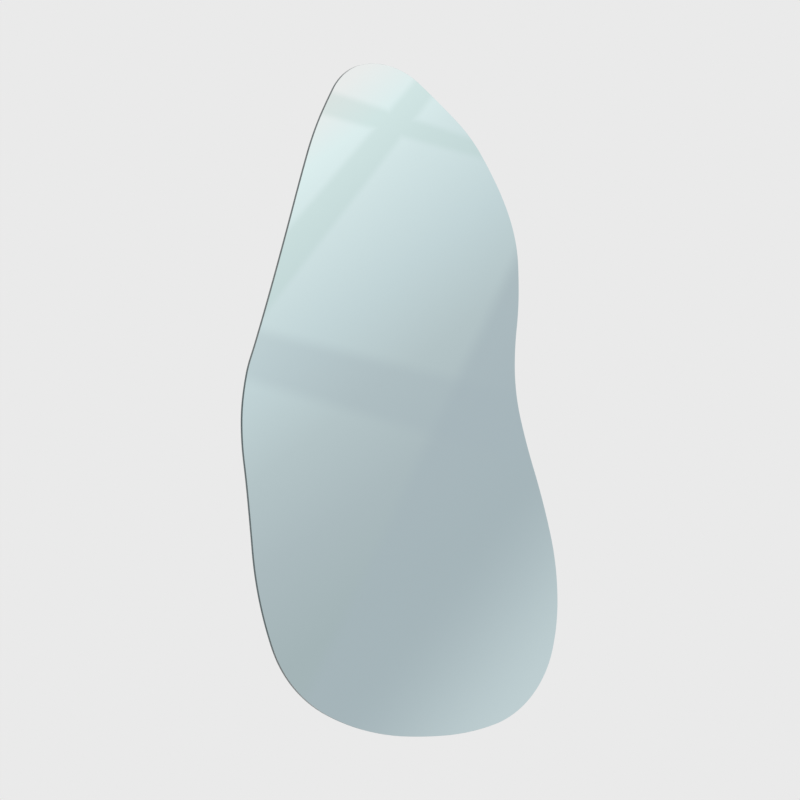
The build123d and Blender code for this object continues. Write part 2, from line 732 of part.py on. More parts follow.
# Sizes shared by the driver and the terminal box on the tray
CASE_BACK = TRAY_BACK_FACE - GEAR_DEPTH
CASE_RIM = CASE_BACK + LID_THICK
CASE_FLOOR = TRAY_BACK_FACE - CASE_WALL
LEAD_Z = (CASE_RIM + CASE_FLOOR) / 2


def case_block(left, length, height, inset, back, front):
    """Space of a case at an inset from its outside faces."""
    half = height / 2 - inset
    return block(left + inset, left + length - inset, GEAR_UP - half, GEAR_UP + half, back, front)


def case_base(left, length, height):
    """Open moulded base with rounded corners."""
    base = case_block(left, length, height, 0, CASE_RIM, TRAY_BACK_FACE)
    base = fillet(base.edges().filter_by(Axis.Z), BOX_CORNER)
    return base - case_block(left, length, height, CASE_WALL, CASE_RIM, CASE_FLOOR)


def case_lid(left, length, height):
    """Lid plate with a locating rim inside the base."""
    lid = case_block(left, length, height, 0, CASE_BACK, CASE_RIM)
    lid = fillet(lid.edges().filter_by(Axis.Z), BOX_CORNER)
    inset = CASE_WALL + LID_PLAY
    rim_front = CASE_RIM + LID_THICK
    rim = case_block(left, length, height, inset, CASE_RIM, rim_front)
    return lid + (rim - case_block(left, length, height, inset + LID_RIM, CASE_RIM, rim_front))


def case_hole(x, y, radius):
    """Round hole along x through a case's end wall."""
    return Pos(x, y, LEAD_Z) * Rot(0, 90, 0) * Cylinder(radius + LEAD_HOLE_PLAY, 3 * CASE_WALL)


# Routes of the leads, chosen point by point: x, up and distance from the wall
BLOCK_X = BOX_LEFT + BOX_LENGTH / 2
BLOCK_RIGHT = BLOCK_X + BLOCK_WIDTH / 2
BLOCK_BOTTOM = GEAR_UP - BLOCK_LENGTH / 2
BOARD_LEFT = DRIVER_LEFT + CASE_WALL + BOARD_MARGIN
BOARD_RIGHT = DRIVER_RIGHT - CASE_WALL - BOARD_MARGIN
PLATE_OUTER = SWITCH_UP + WEB_OUTER
SOCKET_TOP = PLATE_OUTER + HOUSING_RISE + SOCKET_SEAT + SOCKET_RISE
TAG_END = EARTH_UP + 2 * TAG_RADIUS
TAG_Z = TRAY_BACK_FACE - EARTH_LEAD - TAG_THICK
MAINS_UP = GEAR_UP + MAINS_RISE
MAINS_IN_UP = MAINS_UP + MAINS_SHIFT
EARTH_EXIT_UP = GEAR_UP - EARTH_EXIT_DROP
LED_UP = GEAR_UP - LED_DROP
CLIP_SWITCH = (-22.0, LOWER_UP - 4.0)
CLIP_LED = (160.0, LOWER_UP)
SWITCH_CLIP_Z = BAR_FRONT + CLIP_WALL + SWITCH_LEAD + SWITCH_CLIP_ROOM
LED_CLIP_Z = BAR_FRONT + CLIP_WALL + LED_LEAD + LED_CLIP_ROOM
SWITCH_EXIT_X = BLOCK_RIGHT - SWITCH_LEAD

MAINS_ROUTE = [
    (BLOCK_RIGHT, MAINS_UP, LEAD_Z),
    (BOX_RIGHT + 8, MAINS_UP, LEAD_Z),
    (DRIVER_LEFT - 8, MAINS_IN_UP, LEAD_Z),
    (BOARD_LEFT, MAINS_IN_UP, LEAD_Z),
]
SWITCH_ROUTE = [
    (SWITCH_EXIT_X, BLOCK_BOTTOM, LEAD_Z),
    (SWITCH_EXIT_X, -561, LEAD_Z),
    (-47, CLIP_SWITCH[1], SWITCH_CLIP_Z),
    (2, CLIP_SWITCH[1], SWITCH_CLIP_Z),
    (40, -592, 18.5),
    (66, -600, 21.5),
    (SWITCH_X, SOCKET_TOP + 17, RAIL_MID),
    (SWITCH_X, SOCKET_TOP, RAIL_MID),
]
LED_ROUTE = [
    (BOARD_RIGHT, LED_UP, LEAD_Z),
    (150, LED_UP, LEAD_Z),
    (CLIP_LED[0], -543, LED_CLIP_Z),
    (CLIP_LED[0], -602, LED_CLIP_Z),
    (147, -628, 19),
    tuple(FEED.from_local_coords((0, FEED_RUN, 0))),
    tuple(FEED.from_local_coords((0, 0, 0))),
]
EARTH_ROUTE = [
    (BLOCK_RIGHT, EARTH_EXIT_UP, LEAD_Z),
    (EARTH_X, EARTH_EXIT_UP, LEAD_Z),
    (EARTH_X, TAG_END + 8, TAG_Z),
    (EARTH_X, TAG_END, TAG_Z),
]
save("mains_lead", lead("mains_lead", MAINS_ROUTE, MAINS_LEAD))
save("switch_lead", lead("switch_lead", SWITCH_ROUTE, SWITCH_LEAD))
save("led_lead", lead("led_lead", LED_ROUTE, LED_LEAD))
save("earth_lead", lead("earth_lead", EARTH_ROUTE, EARTH_LEAD))


def clip(x, y, z, radius, turn):
    """Adhesive saddle on the front of the lower bar, round a lead."""
    half = radius + CLIP_WALL
    saddle = block(-CLIP_LENGTH / 2, CLIP_LENGTH / 2, -half, half, BAR_FRONT, z + half)
    saddle = fillet(saddle.edges().filter_by(Axis.X).group_by(Axis.Z)[-1], half / 2)
    foot = half + CLIP_FOOT
    foot_front = BAR_FRONT + CLIP_WALL / 2
    saddle += block(-CLIP_LENGTH / 2, CLIP_LENGTH / 2, -foot, foot, BAR_FRONT, foot_front)
    saddle -= Pos(0, 0, z) * Rot(0, 90, 0) * Cylinder(radius + LEAD_HOLE_PLAY, 2 * CLIP_LENGTH)
    return Pos(x, y, 0) * Rot(0, 0, turn) * saddle


switch_clip = clip(*CLIP_SWITCH, SWITCH_CLIP_Z, SWITCH_LEAD, 0)
save("cable_clips", switch_clip, clip(*CLIP_LED, LED_CLIP_Z, LED_LEAD, 90))

# Gear tray: a shallow pan whose flanges are screwed to the middle and lower bars
EARS = [(x, GEAR_UP) for x in (DRIVER_LEFT - EAR_LENGTH / 2, DRIVER_RIGHT + EAR_LENGTH / 2)]
box_screw_x = (BLOCK_X - BLOCK_WIDTH, BLOCK_X + BLOCK_WIDTH)
BOX_SCREWS = [(x, GEAR_UP) for x in box_screw_x]
tray_front = TRAY_BACK_FACE + TRAY_SHEET
tray = block(TRAY_LEFT, TRAY_RIGHT, tray_low - TRAY_SHEET, tray_high + TRAY_SHEET, TRAY_BACK_FACE, tray_front)
flange_front = BAR_FRONT + TRAY_SHEET
for edge, side in ((tray_low, -1), (tray_high, 1)):
    wall = sorted((edge, edge + side * TRAY_SHEET))
    tray += block(TRAY_LEFT, TRAY_RIGHT, *wall, BAR_FRONT, tray_front)
    flange = sorted((edge, edge + side * TRAY_FLANGE))
    tray += block(TRAY_LEFT, TRAY_RIGHT, *flange, BAR_FRONT, flange_front)
notch_half = NOTCH_WIDTH / 2 + SWITCH_LEAD
notch_front = LEAD_Z + SWITCH_LEAD + CLIP_WALL
notch_low = tray_low - TRAY_FLANGE
tray -= block(BLOCK_RIGHT - notch_half, BLOCK_RIGHT + notch_half, notch_low, tray_low, BAR_FRONT, notch_front)
for place in TRAY_SCREWS:
    tray -= rod(*place, BAR_FRONT, flange_front, M4_SHANK + THREAD_PLAY)
for place in EARS + BOX_SCREWS:
    tray -= rod(*place, TRAY_BACK_FACE, tray_front, M3_SHANK + THREAD_PLAY)
save("gear_tray", tray)
save("tray_screws", *[m4(*place, BAR_BACK, BAR_THICK + TRAY_SHEET) for place in TRAY_SCREWS])

# Driver case with its mounting ears, vented lid and circuit board
board_front = CASE_FLOOR - BOARD_STAND
board_back = board_front - BOARD_THICK
board_half = DRIVER_HEIGHT / 2 - CASE_WALL - BOARD_MARGIN
driver_base = case_base(DRIVER_LEFT, DRIVER_LENGTH, DRIVER_HEIGHT)
for side, (x, y) in zip((-1, 1), EARS):
    ear = block(
        x - EAR_LENGTH / 2,
        x + EAR_LENGTH / 2,
        y - EAR_HALF,
        y + EAR_HALF,
        TRAY_BACK_FACE - EAR_THICK,
        TRAY_BACK_FACE,
    )
    ear = fillet(ear.edges().filter_by(Axis.Z).group_by(Axis.X)[0 if side < 0 else -1], BOX_CORNER)
    driver_base += ear - rod(x, y, 0, GLASS_BACK, M3_SHANK + HOLE_PLAY)
for x in (BOARD_LEFT + 2 * STAND_RADIUS, BOARD_RIGHT - 2 * STAND_RADIUS):
    for y in (GEAR_UP - board_half / 2, GEAR_UP + board_half / 2):
        driver_base += rod(x, y, board_front, CASE_FLOOR, STAND_RADIUS)
driver_base -= case_hole(DRIVER_LEFT, MAINS_IN_UP, MAINS_LEAD)
driver_base -= case_hole(DRIVER_RIGHT, LED_UP, LED_LEAD)
save("driver_base", driver_base)
driver_lid = case_lid(DRIVER_LEFT, DRIVER_LENGTH, DRIVER_HEIGHT)
driver_mid = DRIVER_LEFT + DRIVER_LENGTH / 2
for index in range(VENT_COUNT):
    x = driver_mid + (index - (VENT_COUNT - 1) / 2) * VENT_PITCH
    slot = Pos(x, GEAR_UP, CASE_BACK) * extrude(SlotOverall(VENT_LENGTH, VENT_WIDTH, rotation=90), LID_THICK)
    driver_lid -= slot
save("driver_lid", driver_lid)
board = block(BOARD_LEFT, BOARD_RIGHT, GEAR_UP - board_half, GEAR_UP + board_half, board_back, board_front)
save("driver_board", board)

# What stands on the driver's board: transformer, capacitors, filter and the two ports
FILTER_X = BOARD_LEFT + PORT_LENGTH + FILTER_GAP + FILTER_HALF
CAN_X = FILTER_X + FILTER_HALF + CAN_GAP + CAN_LENGTH / 2
TRANSFORMER_X = CAN_X + CAN_LENGTH / 2 + TRANSFORMER_GAP + CORE_HALF


def on_board(x, y, half_x, half_y, rise):
    """Block that stands on the back of the driver's board."""
    return block(x - half_x, x + half_x, y - half_y, y + half_y, board_back - rise, board_back)


core = on_board(TRANSFORMER_X, GEAR_UP, CORE_HALF, CORE_HALF_WIDTH, CORE_RISE)
coil = on_board(TRANSFORMER_X, GEAR_UP, COIL_HALF, COIL_HALF_WIDTH, COIL_RISE)
coil = fillet(coil.edges().filter_by(Axis.Z), 2 * SMALL_FILLET) - core
save("driver_transformer", core, *coil.solids())
cans = []
for side in (-1, 1):
    place = Pos(CAN_X, GEAR_UP + side * CAN_UP, board_back - CAN_RADIUS)
    can = Rot(0, 90, 0) * Cylinder(CAN_RADIUS, CAN_LENGTH)
    cans.append(place * fillet(can.edges().filter_by(GeomType.CIRCLE), SMALL_FILLET))
save("driver_capacitors", *cans)
film_can = on_board(FILTER_X, GEAR_UP, FILTER_HALF, FILTER_HALF_WIDTH, FILTER_RISE)
save("driver_filter", fillet(film_can.edges().filter_by(Axis.Z), SMALL_FILLET))
ports = []
for x, up in ((BOARD_LEFT + PORT_LENGTH / 2, MAINS_UP), (BOARD_RIGHT - PORT_LENGTH / 2, LED_UP)):
    ports.append(on_board(x, up, PORT_LENGTH / 2, PORT_HALF, PORT_RISE))
save("driver_ports", *ports)

# Terminal box with its posts, lid and lid screws
post_inset = CASE_WALL + POST_RADIUS - POST_SINK
post_up = BOX_HEIGHT / 2 - post_inset
POSTS = [(BOX_LEFT + post_inset, GEAR_UP + post_up), (BOX_RIGHT - post_inset, GEAR_UP - post_up)]
box_base = case_base(BOX_LEFT, BOX_LENGTH, BOX_HEIGHT)
box_lid = case_lid(BOX_LEFT, BOX_LENGTH, BOX_HEIGHT)
for place in POSTS:
    box_base += rod(*place, CASE_RIM, CASE_FLOOR, POST_RADIUS)
    box_lid -= rod(*place, CASE_RIM, CASE_FLOOR, POST_RADIUS + LID_PLAY)
for place in POSTS:
    box_base -= rod(*place, CASE_RIM, CASE_FLOOR, M3_SHANK + THREAD_PLAY)
    box_lid -= rod(*place, CASE_BACK, CASE_RIM, M3_SHANK + HOLE_PLAY)
for place in BOX_SCREWS:
    box_base -= rod(*place, CASE_FLOOR, TRAY_BACK_FACE, M3_SHANK + HOLE_PLAY)
box_base -= case_hole(BOX_RIGHT, MAINS_UP, MAINS_LEAD)
box_base -= case_hole(BOX_RIGHT, EARTH_EXIT_UP, EARTH_LEAD)
box_bottom = GEAR_UP - BOX_HEIGHT / 2
box_base -= Pos(SWITCH_EXIT_X, box_bottom, LEAD_Z) * Rot(90, 0, 0) * Cylinder(
    SWITCH_LEAD + 2 * LEAD_HOLE_PLAY, 3 * CASE_WALL
)
gland_hole = Rot(0, 90, 0) * Cylinder(GLAND_THREAD + THREAD_PLAY, 2 * CASE_WALL)
box_base -= Pos(BOX_LEFT + CASE_WALL, GEAR_UP, LEAD_Z) * gland_hole
gland_end = BOX_LEFT + CASE_WALL + GLAND_INSIDE
box_lid -= block(
    BOX_LEFT + CASE_WALL,
    gland_end,
    GEAR_UP - GLAND_HEX * GLAND_ROOM,
    GEAR_UP + GLAND_HEX * GLAND_ROOM,
    CASE_RIM,
    CASE_FLOOR,
)
save("terminal_box_base", box_base)
save("terminal_box_lid", box_lid)
save("box_lid_screws", *[m3(*place, CASE_BACK, LID_THICK) for place in POSTS])
gear_screws = [m3(*place, TRAY_BACK_FACE - EAR_THICK, EAR_THICK) for place in EARS]
gear_screws += [m3(*place, CASE_FLOOR, CASE_WALL) for place in BOX_SCREWS]
save("gear_screws", *gear_screws)

# Terminal block in the box, with two clamp screws and two wire entries a pole
block_back = CASE_FLOOR - BLOCK_HEIGHT
terminals = block(
    BLOCK_X - BLOCK_WIDTH / 2,
    BLOCK_RIGHT,
    BLOCK_BOTTOM,
    BLOCK_BOTTOM + BLOCK_LENGTH,
    block_back,
    CASE_FLOOR,
)
pole_screws = []
for index in range(BLOCK_POLES):
    y = GEAR_UP + (index - (BLOCK_POLES - 1) / 2) * POLE_PITCH
    for side in (-1, 1):
        x = BLOCK_X + side * BLOCK_WIDTH / 4
        terminals -= rod(x, y, block_back, block_back + 3 * POLE_SCREW, POLE_SCREW + THREAD_PLAY)
        pole = rod(x, y, block_back + POLE_SCREW, block_back + 3 * POLE_SCREW, POLE_SCREW)
        slit_front = block_back + 2 * POLE_SCREW
        slit = block(x - POLE_SCREW, x + POLE_SCREW, y - SLIT_HALF, y + SLIT_HALF, block_back, slit_front)
        pole_screws.append(pole - slit)
    entry = Rot(0, 90, 0) * Cylinder(POLE_ENTRY, BLOCK_WIDTH / 4)
    terminals -= Pos(BLOCK_X - 3 * BLOCK_WIDTH / 8, y, LEAD_Z + POLE_ENTRY) * entry
save("terminal_block", terminals)
save("terminal_screws", *pole_screws)

# Cable gland through the box's left wall, with its locknut inside
dome_back = BOX_LEFT - GLAND_HEX_THICK


def gland_piece(x0, x1, shape):
    """Piece of the gland between two x positions, about the gland's axis."""
    return Pos(x0, GEAR_UP, LEAD_Z) * Rot(0, 90, 0) * extrude(shape, x1 - x0)


hexagon = RegularPolygon(GLAND_HEX / 2, 6, major_radius=False, rotation=30)
dome = gland_piece(dome_back - GLAND_DOME_LENGTH, dome_back, Circle(GLAND_DOME))
dome = fillet(dome.edges().group_by(Axis.X)[0], GLAND_DOME / 3)
gland = dome + gland_piece(dome_back, BOX_LEFT, hexagon)
gland += gland_piece(BOX_LEFT, gland_end, Circle(GLAND_THREAD))
gland -= gland_piece(dome_back - GLAND_DOME_LENGTH, gland_end, Circle(GLAND_BORE))
save("gland_body", gland)
nut_left = BOX_LEFT + CASE_WALL
gland_nut = gland_piece(nut_left, nut_left + GLAND_NUT_THICK, hexagon)
gland_nut -= gland_piece(nut_left, nut_left + GLAND_NUT_THICK, Circle(GLAND_THREAD + THREAD_PLAY))
save("gland_nut", gland_nut)

# Earth stud welded to the tray, its nut and the crimped ring tag
earth_back = TRAY_BACK_FACE - EARTH_LENGTH
save("earth_stud", rod(EARTH_X, EARTH_UP, earth_back, TRAY_BACK_FACE, EARTH_RADIUS))
tag_back = TRAY_BACK_FACE - TAG_THICK
tag = rod(EARTH_X, EARTH_UP, tag_back, TRAY_BACK_FACE, TAG_RADIUS)
tag += block(
    EARTH_X - EARTH_LEAD,
    EARTH_X + EARTH_LEAD,
    EARTH_UP,
    EARTH_UP + 1.5 * TAG_RADIUS,
    tag_back,
    TRAY_BACK_FACE,
)
tag_barrel = Rot(90, 0, 0) * Cylinder(EARTH_LEAD + TAG_THICK, 0.8 * TAG_RADIUS)
tag += Pos(EARTH_X, TAG_END - 0.4 * TAG_RADIUS, TAG_Z) * tag_barrel
save("earth_tag", tag - rod(EARTH_X, EARTH_UP, tag_back, TRAY_BACK_FACE, EARTH_RADIUS + THREAD_PLAY))
earth_nut = prism(EARTH_X, EARTH_UP, tag_back - EARTH_NUT, tag_back, EARTH_HEX)
save("earth_nut", earth_nut - rod(EARTH_X, EARTH_UP, 0, GLASS_BACK, EARTH_RADIUS + THREAD_PLAY))

# Switch plate across the gap at the bottom: a web with the cut-out, and a tab behind the screw flange
web_half = cap_half - CAP - SNAP_PLAY
tab_half = cap_half + PLATE_LAP
tab_back = RAIL_BACK - RAIL_WALL
plate_inner = PLATE_OUTER + RAIL_WALL
plate = block(SWITCH_X - web_half, SWITCH_X + web_half, PLATE_OUTER, plate_inner, tab_back, INNER_FRONT)
tab_top = PLATE_OUTER + SCREW_FLANGE + PLATE_TAB_EXTRA
tab = block(SWITCH_X - tab_half, SWITCH_X + tab_half, PLATE_OUTER, tab_top, tab_back, RAIL_BACK)
plate += fillet(tab.edges().filter_by(Axis.Z), BOX_CORNER)
plate -= block(
    SWITCH_X - CUTOUT_LENGTH / 2,
    SWITCH_X + CUTOUT_LENGTH / 2,
    PLATE_OUTER,
    plate_inner,
    RAIL_MID - CUTOUT_WIDTH / 2,
    RAIL_MID + CUTOUT_WIDTH / 2,
)
for place in PLATE_SCREWS:
    plate -= rod(*place, tab_back, RAIL_BACK, M4_SHANK + HOLE_PLAY)
save("switch_plate", plate)
save("plate_screws", *[m4(*place, tab_back, 2 * RAIL_WALL) for place in PLATE_SCREWS])


def switch_block(half_x, low, high, half_z):
    """Block centred on the switch, between two heights above the plate's outer face."""
    return block(
        SWITCH_X - half_x,
        SWITCH_X + half_x,
        PLATE_OUTER + low,
        PLATE_OUTER + high,
        RAIL_MID - half_z,
        RAIL_MID + half_z,
    )


# Rocker housing snapped into the plate
housing_half = CUTOUT_LENGTH / 2 - SNAP_PLAY
housing_half_z = CUTOUT_WIDTH / 2 - SNAP_PLAY
cavity_half_z = housing_half_z - HOUSING_SIDE
bezel_half = CUTOUT_LENGTH / 2 + BEZEL_OVERLAP
bezel = switch_block(bezel_half, -BEZEL_THICK, 0, CUTOUT_WIDTH / 2 + BEZEL_OVERLAP)
bezel = fillet(bezel.edges().filter_by(Axis.Y), BEZEL_OVERLAP)
housing = bezel + switch_block(housing_half, 0, HOUSING_RISE, housing_half_z)
barb_low = RAIL_WALL + LEAD_HOLE_PLAY
housing += switch_block(housing_half + 3 * SNAP_PLAY, barb_low, 2 * RAIL_WALL, housing_half_z / 2)
housing -= switch_block(CAVITY_HALF, -BEZEL_THICK, CAVITY_DEPTH - BEZEL_THICK, cavity_half_z)
pivot_up = PLATE_OUTER + PIVOT_RISE
housing -= Pos(SWITCH_X, pivot_up, RAIL_MID) * Cylinder(PIVOT_RADIUS + PIVOT_PLAY, 2 * housing_half_z)
save("rocker_housing", housing)

# Rocker, drawn level about its pivot and then tipped to its off stop
rocker_half_z = cavity_half_z - ROCKER_PLAY
valley = ThreePointArc((-ROCKER_HALF, -ROCKER_TIP), (0, -ROCKER_VALLEY), (ROCKER_HALF, -ROCKER_TIP))
flank = Polyline(
    (ROCKER_HALF, -ROCKER_TIP),
    (ROCKER_INNER_HALF, ROCKER_INNER),
    (-ROCKER_INNER_HALF, ROCKER_INNER),
    (-ROCKER_HALF, -ROCKER_TIP),
)
rocker_face = Face(Wire(valley.edges() + flank.edges()))
rocker = extrude(rocker_face, amount=rocker_half_z, dir=(0, 0, 1), both=True)
rocker += Cylinder(PIVOT_RADIUS, 2 * (housing_half_z - LEAD_HOLE_PLAY))
save("rocker", Pos(SWITCH_X, pivot_up, RAIL_MID) * Rot(0, 0, ROCKER_TILT) * rocker)

# Switch blades and the push-on socket that joins them to the switch lead
blade_top = HOUSING_RISE + BLADE_LENGTH
blades = []
socket_low = HOUSING_RISE + SOCKET_SEAT
socket = switch_block(SOCKET_LENGTH / 2, socket_low, socket_low + SOCKET_RISE, SOCKET_WIDTH / 2)
socket = fillet(socket.edges().filter_by(Axis.Y), 2 * SMALL_FILLET)
for side in (-1, 1):
    shift = Pos(side * BLADE_HALF_PITCH, 0, 0)
    blades.append(shift * switch_block(BLADE_THICK / 2, HOUSING_RISE, blade_top, BLADE_WIDTH / 2))
    socket -= shift * switch_block(
        BLADE_THICK / 2 + SOCKET_PLAY,
        HOUSING_RISE,
        blade_top + SOCKET_PLAY,
        BLADE_WIDTH / 2 + SOCKET_PLAY,
    )
save("switch_blades", *blades)
save("switch_socket", socket)
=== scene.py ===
# %% [markdown]
# # A pebble-shaped wall mirror, dressed over its CAD frame
# The real object is a frameless sheet of silvered glass with a free-form outline. Behind it, out of
# sight from the front, sit a bent light channel, cross bars, a hanging cleat, a driver and a switch.
# CAD gives every piece its shape and place. This lesson gives each one its real finish, adds the few
# forms that CAD leaves plain, and lights the whole so that the glass reads as a mirror.
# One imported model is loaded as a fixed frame, so that nothing has to be fitted by eye.
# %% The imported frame
import json
import math

import bpy
import numpy as np
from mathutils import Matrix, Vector


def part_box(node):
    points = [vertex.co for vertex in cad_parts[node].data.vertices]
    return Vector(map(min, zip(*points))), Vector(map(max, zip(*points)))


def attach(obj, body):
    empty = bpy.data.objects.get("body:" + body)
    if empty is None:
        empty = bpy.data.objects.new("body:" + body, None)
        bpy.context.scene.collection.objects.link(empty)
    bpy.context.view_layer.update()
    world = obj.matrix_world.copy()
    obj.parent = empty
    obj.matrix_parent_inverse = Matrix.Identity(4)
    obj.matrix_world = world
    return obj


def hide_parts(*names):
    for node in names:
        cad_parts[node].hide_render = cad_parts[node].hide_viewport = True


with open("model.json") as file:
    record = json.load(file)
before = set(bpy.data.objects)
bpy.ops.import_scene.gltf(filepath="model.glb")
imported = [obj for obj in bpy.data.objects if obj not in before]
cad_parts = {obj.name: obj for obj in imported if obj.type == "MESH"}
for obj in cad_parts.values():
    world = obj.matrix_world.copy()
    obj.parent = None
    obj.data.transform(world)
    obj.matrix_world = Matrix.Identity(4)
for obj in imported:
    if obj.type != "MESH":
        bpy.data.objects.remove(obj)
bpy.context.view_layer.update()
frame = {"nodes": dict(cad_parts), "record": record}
CAD = frame["nodes"]
MM = 0.001
print("pieces in the frame:", len(CAD))

# %% [markdown]
# ## Two small tools
# A colour is easiest to choose in sRGB hex, as a paint chart or a photo editor gives it, but shaders
# work in linear light. One function turns the first into the second for the whole script.
# A material is a tree of nodes. One function adds a node, sets what it is told, and links what comes
# from other nodes, so that each finish below reads as a short list of what it is made of.
# %% Colours and nodes
def linear(colour, divide=(1.0, 1.0, 1.0)):
    """sRGB hex to linear RGBA, each channel divided by what takes its share of the light on the way.

    A dark channel is divided by 12.92, and any other is ((c + 0.055) / 1.055) to the power 2.4.
    """
    channel = np.array([int(colour[start:start + 2], 16) for start in (1, 3, 5)]) / 255
    light = np.where(channel <= 0.04045, channel / 12.92, ((channel + 0.055) / 1.055) ** 2.4)
    return (*(light / np.array(divide)).tolist(), 1.0)


def add(tree, kind, inputs=None, **settings):
    """Adds a node: settings are its properties, inputs its sockets by name or number, as values or links."""
    node = tree.nodes.new(kind)
    for name, value in settings.items():
        setattr(node, name, value)
    for name, value in (inputs or {}).items():
        if isinstance(value, bpy.types.NodeSocket):
            tree.links.new(value, node.inputs[name])
        else:
            node.inputs[name].default_value = value
    return node


def new_finish(name):
    """A material with one Principled shader: its tree, the shader, and the place on the object in metres."""
    material = bpy.data.materials.new(name)
    material.use_nodes = True
    tree = material.node_tree
    tree.nodes.clear()
    shader = add(tree, "ShaderNodeBsdfPrincipled")
    add(tree, "ShaderNodeOutputMaterial", {"Surface": shader.outputs["BSDF"]})
    place = add(tree, "ShaderNodeTexCoord").outputs["Object"]
    return material, tree, shader, place


print("half grey on a chart is", round(linear("#808080")[0], 3), "in linear light")

# %% [markdown]
# ## The camera
# The photograph looks at the mirror level with its middle, from its left side. The side wall of the
# 5 mm glass shows as a line two pixels wide, which puts the view 32.3 degrees off square.
# A long lens from 3.5 m keeps the outline's proportions, as a product photograph does. The camera
# stands a hair to the left of the pane's middle, which puts both edges where the photograph has them.
# %% Camera
PANE_MIDDLE = Vector((-0.004, -0.040, -0.250))
VIEW_DISTANCE = 3.5
VIEW_TURN = math.radians(32.3)
LENS = 117.8
AIM_LEFT = 0.4 * MM

from_pane = Vector((-math.sin(VIEW_TURN), -math.cos(VIEW_TURN), 0))
camera = bpy.data.objects.new("camera", bpy.data.cameras.new("camera"))
bpy.context.scene.collection.objects.link(camera)
camera.data.lens = LENS
right = from_pane.cross(Vector((0, 0, -1)))
camera.location = PANE_MIDDLE + VIEW_DISTANCE * from_pane - AIM_LEFT * right
camera.rotation_euler = (-from_pane).to_track_quat("-Z", "Y").to_euler()
bpy.context.scene.camera = camera
bpy.context.scene.view_settings.view_transform = "Standard"
print("camera at", [round(value, 3) for value in camera.location])

# %% [markdown]
# ## The studio
# The background is one flat pale grey. It comes from the world, which shows that grey to the camera
# and in reflections, and lights the object a little below white, so that colours render as written.
# A backdrop sheet could do the same, but it would have an edge in some of the other views.
# %% The world
BACKGROUND = "#EAEAEA"
WORLD_LIGHT = 0.72

world = bpy.data.worlds.new("studio")
bpy.context.scene.world = world
world.use_nodes = True
tree = world.node_tree
tree.nodes.clear()
ray = add(tree, "ShaderNodeLightPath").outputs
seen = ray["Is Camera Ray"]
for sight in ("Is Glossy Ray", "Is Transmission Ray"):
    seen = add(tree, "ShaderNodeMath", {0: seen, 1: ray[sight]}, operation="MAXIMUM").outputs[0]
lighting = add(tree, "ShaderNodeBackground", {"Color": linear("#FFFFFF"), "Strength": WORLD_LIGHT})
backdrop = add(tree, "ShaderNodeBackground", {"Color": linear(BACKGROUND), "Strength": 1.0})
both = add(tree, "ShaderNodeMixShader", {0: seen, 1: lighting.outputs[0], 2: backdrop.outputs[0]})
add(tree, "ShaderNodeOutputWorld", {"Surface": both.outputs[0]})
print("backdrop", BACKGROUND, "and light at", WORLD_LIGHT)

# %% [markdown]
# ## The floor
# A room has a floor, so one lies well below the mirror, outside the view of the photograph.
# It is matt and pale, with a faint speckle, so that it sends soft light up and shows a soft shadow.
# Its shape is a grid bent round into a disc. The same helper later makes the ring, the pane and the
# screws: it turns rows and columns of points into a mesh with one face between each four.
# %% A sheet from a grid of points
FLOOR_UP = -1.6
FLOOR_RADIUS = 3.6
FLOOR_MIDDLE = 0.01
FLOOR_SIDES, FLOOR_ROWS = 96, 12
SPECKLE = 40 * MM

floor_paint, tree, shader, place = new_finish("Matt floor paint")
speckle = add(tree, "ShaderNodeTexNoise", {"Vector": place, "Scale": 1 / SPECKLE, "Detail": 2.0})
tones = {0: speckle.outputs[0], 6: linear("#E6E6E6"), 7: linear("#EEEEEE")}
tone = add(tree, "ShaderNodeMix", tones, data_type="RGBA")
tree.links.new(tone.outputs[2], shader.inputs["Base Color"])
shader.inputs["Roughness"].default_value = 0.9


def sheet_of(name, points, material, closed=False, capped=False):
    """A mesh from a grid of points, rows by columns, with a face between each four neighbours.

    Closed, its last column joins its first. Capped, its first and last rows are faces too.
    """
    rows, columns = points.shape[:2]
    index = np.arange(rows * columns).reshape(rows, columns)
    caps = [index[0, ::-1].tolist(), index[-1].tolist()] if capped else []
    if closed:
        index = np.concatenate([index, index[:, :1]], axis=1)
    faces = np.stack([index[:-1, :-1], index[:-1, 1:], index[1:, 1:], index[1:, :-1]], axis=-1).reshape(-1, 4)
    mesh = bpy.data.meshes.new(name)
    mesh.from_pydata(points.reshape(-1, 3), [], faces.tolist() + caps)
    mesh.materials.append(material)
    piece = bpy.data.objects.new(name, mesh)
    bpy.context.scene.collection.objects.link(piece)
    return piece


turn = np.linspace(0, 2 * math.pi, FLOOR_SIDES, endpoint=False)
turn, reach = np.meshgrid(turn, np.linspace(FLOOR_MIDDLE, FLOOR_RADIUS, FLOOR_ROWS))
disc = np.stack([reach * np.cos(turn), -reach * np.sin(turn), np.full_like(turn, FLOOR_UP)], axis=-1)
floor = sheet_of("studio_floor", disc, floor_paint, closed=True)
print("floor:", len(floor.data.polygons), "faces at", FLOOR_UP, "m")

